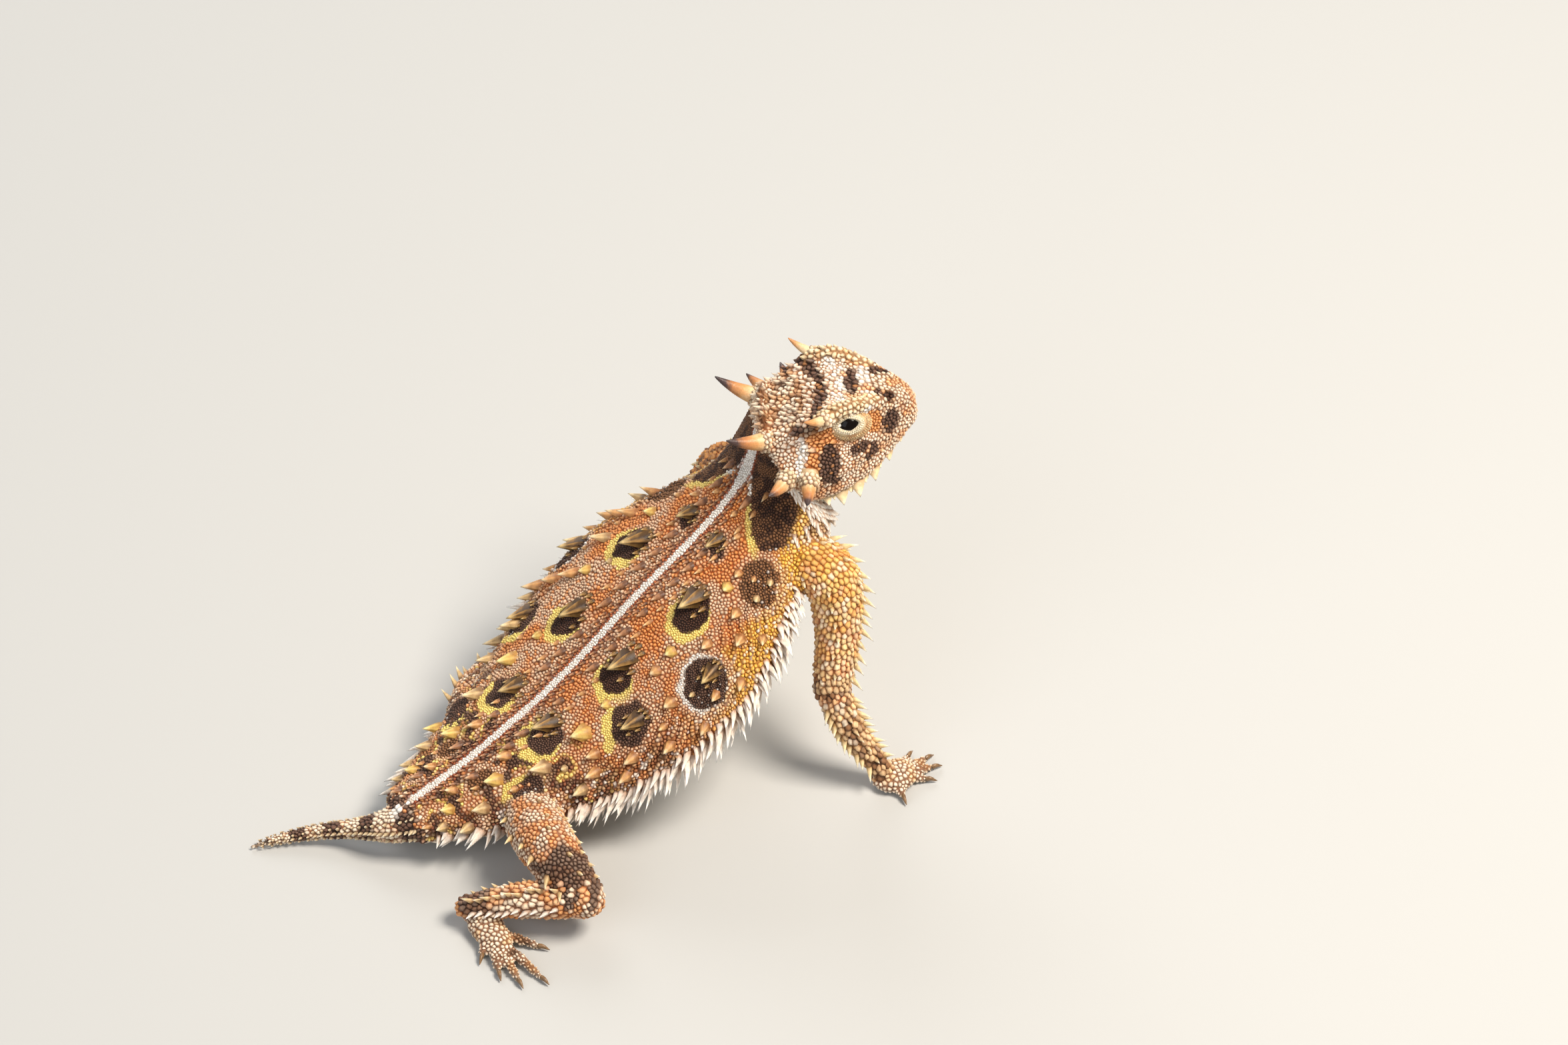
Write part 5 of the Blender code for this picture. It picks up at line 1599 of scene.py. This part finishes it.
def buildClaws(look):
    mesh = bmesh.new()
    for limb in limbs.values():
        for tip in limb["digits"]:
            stations, ahead, end = digitPath(limb["palm"], tip)
            start = np.array(stations[-1][:3]) - ahead * 0.25
            rows = []
            for share, width in clawProfile:
                arch = upward * 0.28 * math.sin(math.pi * min(share + 0.15, 1))
                rows.append((*(start + (end - start) * share + arch), width * 0.8, width))
            wrapped(mesh, tube(rows, upward), 14, 12)
    for vertex in mesh.verts:
        vertex.co.z = max(vertex.co.z, skin["clawGap"] * mm)
    bmesh.ops.recalc_face_normals(mesh, faces=mesh.faces)
    finish(objectFrom("claws", mesh), look)


def finish(thing, look, nodes=()):
    thing.data.materials.clear()
    thing.data.materials.append(look)
    thing.data.shade_smooth()
    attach(thing, "root")
    if nodes:
        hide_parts(*nodes)


def addNode(look, kind, settings=None, links=None):
    # Adds a shader node, with settings for its properties and sockets, and links from other sockets
    tree = look.node_tree
    node = tree.nodes.new(kind)
    for name, value in (settings or {}).items():
        if isinstance(name, str) and hasattr(node, name):
            setattr(node, name, value)
        else:
            node.inputs[name].default_value = value
    for name, source in (links or {}).items():
        tree.links.new(source, node.inputs[name])
    return node


def newLook(name, settings):
    look = bpy.data.materials.new(name)
    look.use_nodes = True
    for socket, value in settings.items():
        look.node_tree.nodes["Principled BSDF"].inputs[socket].default_value = value
    return look


def feed(look, socket, source):
    look.node_tree.links.new(source, look.node_tree.nodes["Principled BSDF"].inputs[socket])


def attribute(look, name, output):
    return addNode(look, "ShaderNodeAttribute", {"attribute_name": name}).outputs[output]


def texture(look, kind, size, settings):
    # A noise or cell texture in object coordinates, its lumps that many millimetres wide
    places = addNode(look, "ShaderNodeTexCoord").outputs["Object"]
    settings = {"Scale": 1 / (size * mm), **settings}
    return addNode(look, "ShaderNodeTex" + kind, settings, {"Vector": places}).outputs[0]


def mapped(look, source, low, high, settings=None):
    settings = {"To Min": low, "To Max": high, **(settings or {})}
    return addNode(look, "ShaderNodeMapRange", settings, {"Value": source}).outputs["Result"]


def tint(look, base, share):
    # The colour of the surface: a base made lighter or darker
    made = addNode(look, "ShaderNodeVectorMath", {"operation": "SCALE"}, {0: base, "Scale": share})
    feed(look, "Base Color", made.outputs["Vector"])


def bump(look, height, strength, depth):
    # Relief that many millimetres deep
    made = addNode(look, "ShaderNodeBump", {"Strength": strength, "Distance": depth * mm},
                   {"Height": height})
    feed(look, "Normal", made.outputs["Normal"])


def blend(look, share, first, second):
    # Mixes two colours, each a hex code or another node's output
    made = addNode(look, "ShaderNodeMix", {"data_type": "RGBA"}, {"Factor": share})
    for socket, value in (("A", first), ("B", second)):
        if isinstance(value, str):
            made.inputs[socket].default_value = (*colour(value), 1.0)
        else:
            look.node_tree.links.new(value, made.inputs[socket])
    return made.outputs["Result"]


def shadesAlong(look, source, stops):
    # Colours along a value: stops of place and hex code
    made = addNode(look, "ShaderNodeValToRGB", links={"Fac": source})
    elements = made.color_ramp.elements
    while len(elements) < len(stops):
        elements.new(0.5)
    for element, (place, code) in zip(elements, stops):
        element.position = place
        element.color = (*colour(code), 1.0)
    return made.outputs["Color"]


def scaleLook(name, roughness, mottle, grit):
    # Keratin scales: beta keratin, IOR about 1.54, dry and satin, so light breaks up on each. The
    # colour comes from the markings, which hold painted shade at each scale's rim and a painted
    # highlight at its peak, with fine mottling; real grain is finer than this.
    look = newLook(name, {"IOR": 1.5, "Specular IOR Level": 0.4})
    patches = texture(look, "Noise", mottle, {"Detail": 4.0, "Roughness": 0.6})
    shade = mapped(look, patches, 0.72, 1.22, {"From Min": 0.3, "From Max": 0.7})
    tint(look, attribute(look, "Markings", "Color"), shade)
    bump(look, texture(look, "Noise", grit, {"Detail": 3.0}), 0.6, 0.05)
    feed(look, "Roughness", mapped(look, patches, roughness - 0.1, roughness + 0.14))
    return look


def skinLook():
    # Soft skin between the scales: matt, finely granular, with grains about 0.4 mm wide. Its colour
    # holds the painted shade of the gaps between the scales, made darker between the grains and
    # paler on their tops as painted shade and highlight.
    look = newLook("lizard_skin", {"Roughness": 0.72, "Specular IOR Level": 0.3})
    grains = texture(look, "Voronoi", 0.42, {"Randomness": 0.9})
    height = mapped(look, grains, 1.0, 0.0, {"From Max": 0.7})
    # Colour scaled by the grains' height: painted shade between the grains, painted highlight on
    # their tops.
    tint(look, attribute(look, "Markings", "Color"), mapped(look, height, 0.75, 1.35))
    bump(look, height, 0.9, 0.12)
    return look


def hornLook():
    # Horn sheath: keratin over bone, IOR about 1.55, satin with a scaly ivory root, an orange-tan
    # shaft and a dark worn tip; growth streaks about 0.25 mm wide run along it
    look = newLook("horn_keratin", {"Roughness": 0.42, "IOR": 1.55})
    patches = texture(look, "Noise", 1.1, {"Detail": 3.0})
    shift = addNode(look, "ShaderNodeMath", {"operation": "MULTIPLY_ADD", 1: 0.3, 2: -0.15},
                    {0: patches})
    moved = addNode(look, "ShaderNodeMath", {"operation": "ADD"},
                    {0: attribute(look, "Reach", "Fac"), 1: shift.outputs["Value"]})
    shades = shadesAlong(look, moved.outputs["Value"], (
        (0.0, "B08558"), (0.22, "E2CDA6"), (0.4, "E3C193"), (0.52, "D29A60"), (0.68, "B97A48"),
        (0.82, "4E3834"), (1.0, "241C20")))
    streaks = texture(look, "Noise", 0.25, {"Detail": 2.0})
    tint(look, shades, mapped(look, streaks, 0.78, 1.2))
    bump(look, streaks, 0.5, 0.1)
    return look


def eyeLook():
    # A wet dark eye: cornea of IOR about 1.38 over a nearly black iris and pupil
    look = newLook("dark_eye", {"Roughness": 0.12, "IOR": 1.38, "Specular IOR Level": 0.35})
    iris = texture(look, "Noise", 0.5, {"Detail": 2.0})
    feed(look, "Base Color", blend(look, iris, "050304", "140B07"))
    return look


def lidLook():
    # Thin granular lid skin: soft, slightly damp at the rim, grains about 0.3 mm. The grains'
    # height makes their tops paler and their edges darker: painted highlight and painted shade.
    look = newLook("eyelid_skin", {"Roughness": 0.55, "Specular IOR Level": 0.4})
    grains = texture(look, "Voronoi", 0.28, {"Randomness": 0.8})
    height = mapped(look, grains, 1.1, 0.72, {"From Max": 0.7})
    patches = texture(look, "Noise", 1.6, {"Detail": 2.0})
    shades = shadesAlong(look, patches, ((0.35, "C79A6C"), (0.65, "E3CFA4")))
    # Colour scaled by the grains' height: painted shade between the grains, painted highlight on
    # their tops.
    tint(look, blend(look, attribute(look, "Rim", "Fac"), shades, "EFE3C8"), height)
    bump(look, height, 0.7, 0.06)
    return look


def clawLook():
    # Claw keratin: dark brown horn, IOR about 1.55, smooth and slightly glossy
    look = newLook("claw_keratin", {"Roughness": 0.35, "IOR": 1.55})
    streaks = texture(look, "Noise", 0.6, {"Detail": 2.0})
    feed(look, "Base Color", blend(look, streaks, "4A3222", "A07C52"))
    return look


fleshNodes = ["torso", "neck", "head", "tail_base", "tail_middle", "tail_tip"]
fleshNodes += [f"{part}_{side}" for side in ("left", "right")
               for part in ("upper_arm", "forearm", "hand", "thigh", "shin", "foot")]


def buildCoat(thing, look, spineLook):
    thing.data.calc_loop_triangles()
    places, outward = meshArrays(thing.data)
    triangles = np.zeros(len(thing.data.loop_triangles) * 3, dtype=np.int32)
    thing.data.loop_triangles.foreach_get("vertices", triangles)
    triangles = triangles.reshape(-1, 3)
    where = lookUp(places)
    low, high = markings(where, places)
    # The skin takes the furrow colour darkened to 0.75 with a little of the top's: painted shade in
    # the gaps between the scales.
    addMarkingsAndShade(thing.data, low * 0.75 + high * 0.08)
    print("skin of", len(places), "places marked")

    broad = backSpineList()
    groups = {
        "spines_back": broad,
        "spines_trunk": trunkSpineList(broad),
        "spines_limbs": limbSpineList(),
        "spines_tail": tailSpineList(),
        "spines_head": headSpineList(places, outward, where, low, high),
    }
    taken = []
    for spines in groups.values():
        taken += [(s["root"], max(s["radius"] * 1.5, 0.45)) for s in spines]
    print("spines", {name: len(spines) for name, spines in groups.items()})
    rods = [hornRows(horn, side) for horn in horns.values() for side in (1, -1)]
    nostrils = [inHead(mirrored(head["nostril"], side)) for side in (1, -1)]

    def barred(spots):
        local = headPlaces(spots)
        out = np.zeros(len(spots), dtype=bool)
        for side in (1, -1):
            fromEye = (local - eyeCentre(side)) @ eyeAxes(side).T
            out |= np.linalg.norm(fromEye / (np.array(eye["lidRadii"]) + 0.12), axis=1) < 1.0
        for rod in rods:
            for row in rod:
                out |= np.linalg.norm(spots - row[:3], axis=1) < row[3] * 0.98
        for place in nostrils:
            out |= np.linalg.norm(spots - place, axis=1) < 0.5
        return out

    spots, normal, width, kind, found = scatter(places, outward, triangles, where, taken, barred)
    print("scales", len(spots))
    flow = square(found["flow"], normal)
    solidSpots = np.array([place for place, _ in taken])
    solidWidths = np.array([size for _, size in taken])
    low, high = markings(found, spots)
    part, hind = found["part"], found["hind"]
    degrees, left = np.abs(found["angle"]), found["angle"] > 0
    trunkPart, limbPart = part == partNumber["trunk"], part > partNumber["tail"]
    # Single pale scales on the flanks and rusty ones on the head
    pale = (chance.random(len(spots)) < 0.07) & trunkPart & (degrees > 48)
    high = np.where(pale[:, None], high * 0.5 + coatColours["white"][1] * 0.5, high)
    specks = (chance.random(len(spots)) < 0.1) & (part == partNumber["head"])
    high = np.where(specks[:, None], high * 0.5 + coatColours["rust"][1] * 0.4, high)
    side = np.cross(normal, flow)
    reach = scaleOutlines(spots, flow, side, width, solidSpots, solidWidths)
    scales = {"spots": spots, "normal": normal, "flow": flow, "side": side, "width": width,
              "kind": kind, "reach": reach, "low": low, "high": high,
              "tile": unwrapped(found, spots)}
    top, flank = degrees <= 60, (degrees > 60) & (degrees <= 104)
    choices = {
        "scales_back_left": trunkPart & top & left,
        "scales_back_right": trunkPart & top & ~left,
        "scales_flank_left": trunkPart & flank & left,
        "scales_flank_right": trunkPart & flank & ~left,
        "scales_belly": trunkPart & (degrees > 104),
        "scales_head": part == partNumber["head"],
        "scales_tail": part == partNumber["tail"],
        "scales_forelimbs": limbPart & ~hind,
        "scales_hindlimbs": limbPart & hind,
    }
    for name, chosen in choices.items():
        rings = 2 if "back" in name or "flank" in name or "belly" in name else 3
        own = {key: rows[chosen] for key, rows in scales.items()}
        finish(scaleMesh(name, rings, own), look)
        print(name, int(chosen.sum()))
    finish(scaleMesh("scales_horn_roots", 3, hornScales()), look)
    finish(scaleMesh("scales_lids", 2, lidScales()), look)
    for name, spines in groups.items():
        finish(spineMesh(name, spines, 12 if name == "spines_back" else 6), spineLook)


# The photograph looks down at 44 degrees from the lizard's right, a little behind its shoulder.
# Lamps: place, size, power, colour.
studio = {
    "paper": "BBBCBB", "floor": 1.5, "around": 33.0, "down": 44.0, "target": (0.0, 0.0, 20.0),
    "distance": 1.2, "shift": (0.01748, 0.01424), "lens": 189.2, "sensor": 36.0,
    "lamps": {
        "key": ((0.28, -0.3, 0.7), 0.3, 9.0, "FFF4E6"),
        "fill": ((-0.7, -0.2, 0.5), 0.7, 2.2, "EEF4FF"),
        "rim": ((0.2, 0.75, 0.5), 0.5, 3.5, "FFFFFF"),
    },
    "lampTarget": (0.01, 0.0, 0.02), "room": "F2F2EE", "roomStrength": 0.32,
}


def buildStudio():
    mesh = bmesh.new()
    bmesh.ops.create_grid(mesh, x_segments=1, y_segments=1, size=studio["floor"])
    floor = objectFrom("studio_floor", mesh)
    paper = newLook("pale_paper", {"Roughness": 0.9, "Base Color": (*colour(studio["paper"]), 1.0)})
    floor.data.materials.append(paper)

    around, down = math.radians(studio["around"]), math.radians(studio["down"])
    right = np.array((math.cos(around), -math.sin(around), 0.0))
    away = np.array((math.sin(around), math.cos(around), 0.0))
    look = away * math.cos(down) - upward * math.sin(down)
    place = inScene(np.array(studio["target"])) - look * studio["distance"]
    aim = unit(look + studio["shift"][0] * right + studio["shift"][1] * np.cross(right, look))
    x = unit(right - aim * np.dot(right, aim))
    turn = np.column_stack((x, np.cross(-aim, x), -aim, place))
    lens = bpy.data.cameras.new("photo_view")
    lens.lens, lens.sensor_width = studio["lens"], studio["sensor"]
    camera = addObject("photo_view", lens)
    camera.matrix_world = Matrix((*turn.tolist(), (0, 0, 0, 1)))
    bpy.context.scene.camera = camera

    for name, (where, size, power, tone) in studio["lamps"].items():
        lamp = bpy.data.lights.new(name, "AREA")
        lamp.size, lamp.energy, lamp.color = size, power, colour(tone)
        thing = addObject(name, lamp)
        thing.location = where
        way = Vector(studio["lampTarget"]) - Vector(where)
        thing.rotation_euler = way.to_track_quat("-Z", "Y").to_euler()
    world = bpy.data.worlds.new("soft_room")
    bpy.context.scene.world = world
    world.use_nodes = True
    room = world.node_tree.nodes["Background"].inputs
    room["Color"].default_value = (*colour(studio["room"]), 1.0)
    room["Strength"].default_value = studio["roomStrength"]
    bpy.context.scene.view_settings.view_transform = "Standard"


def main():
    buildStudio()
    body = buildSkin()
    print("skin of one piece")
    finish(body, skinLook(), fleshNodes)
    buildCoat(body, scaleLook("keratin_scales", 0.55, 0.5, 0.16),
              scaleLook("keratin_spines", 0.45, 0.8, 0.2))
    print("coat of scales and spines")
    buildHorns(hornLook())
    buildEyes(eyeLook(), lidLook())
    buildClaws(clawLook())
    print("horns, eyes, lids and claws")


main()
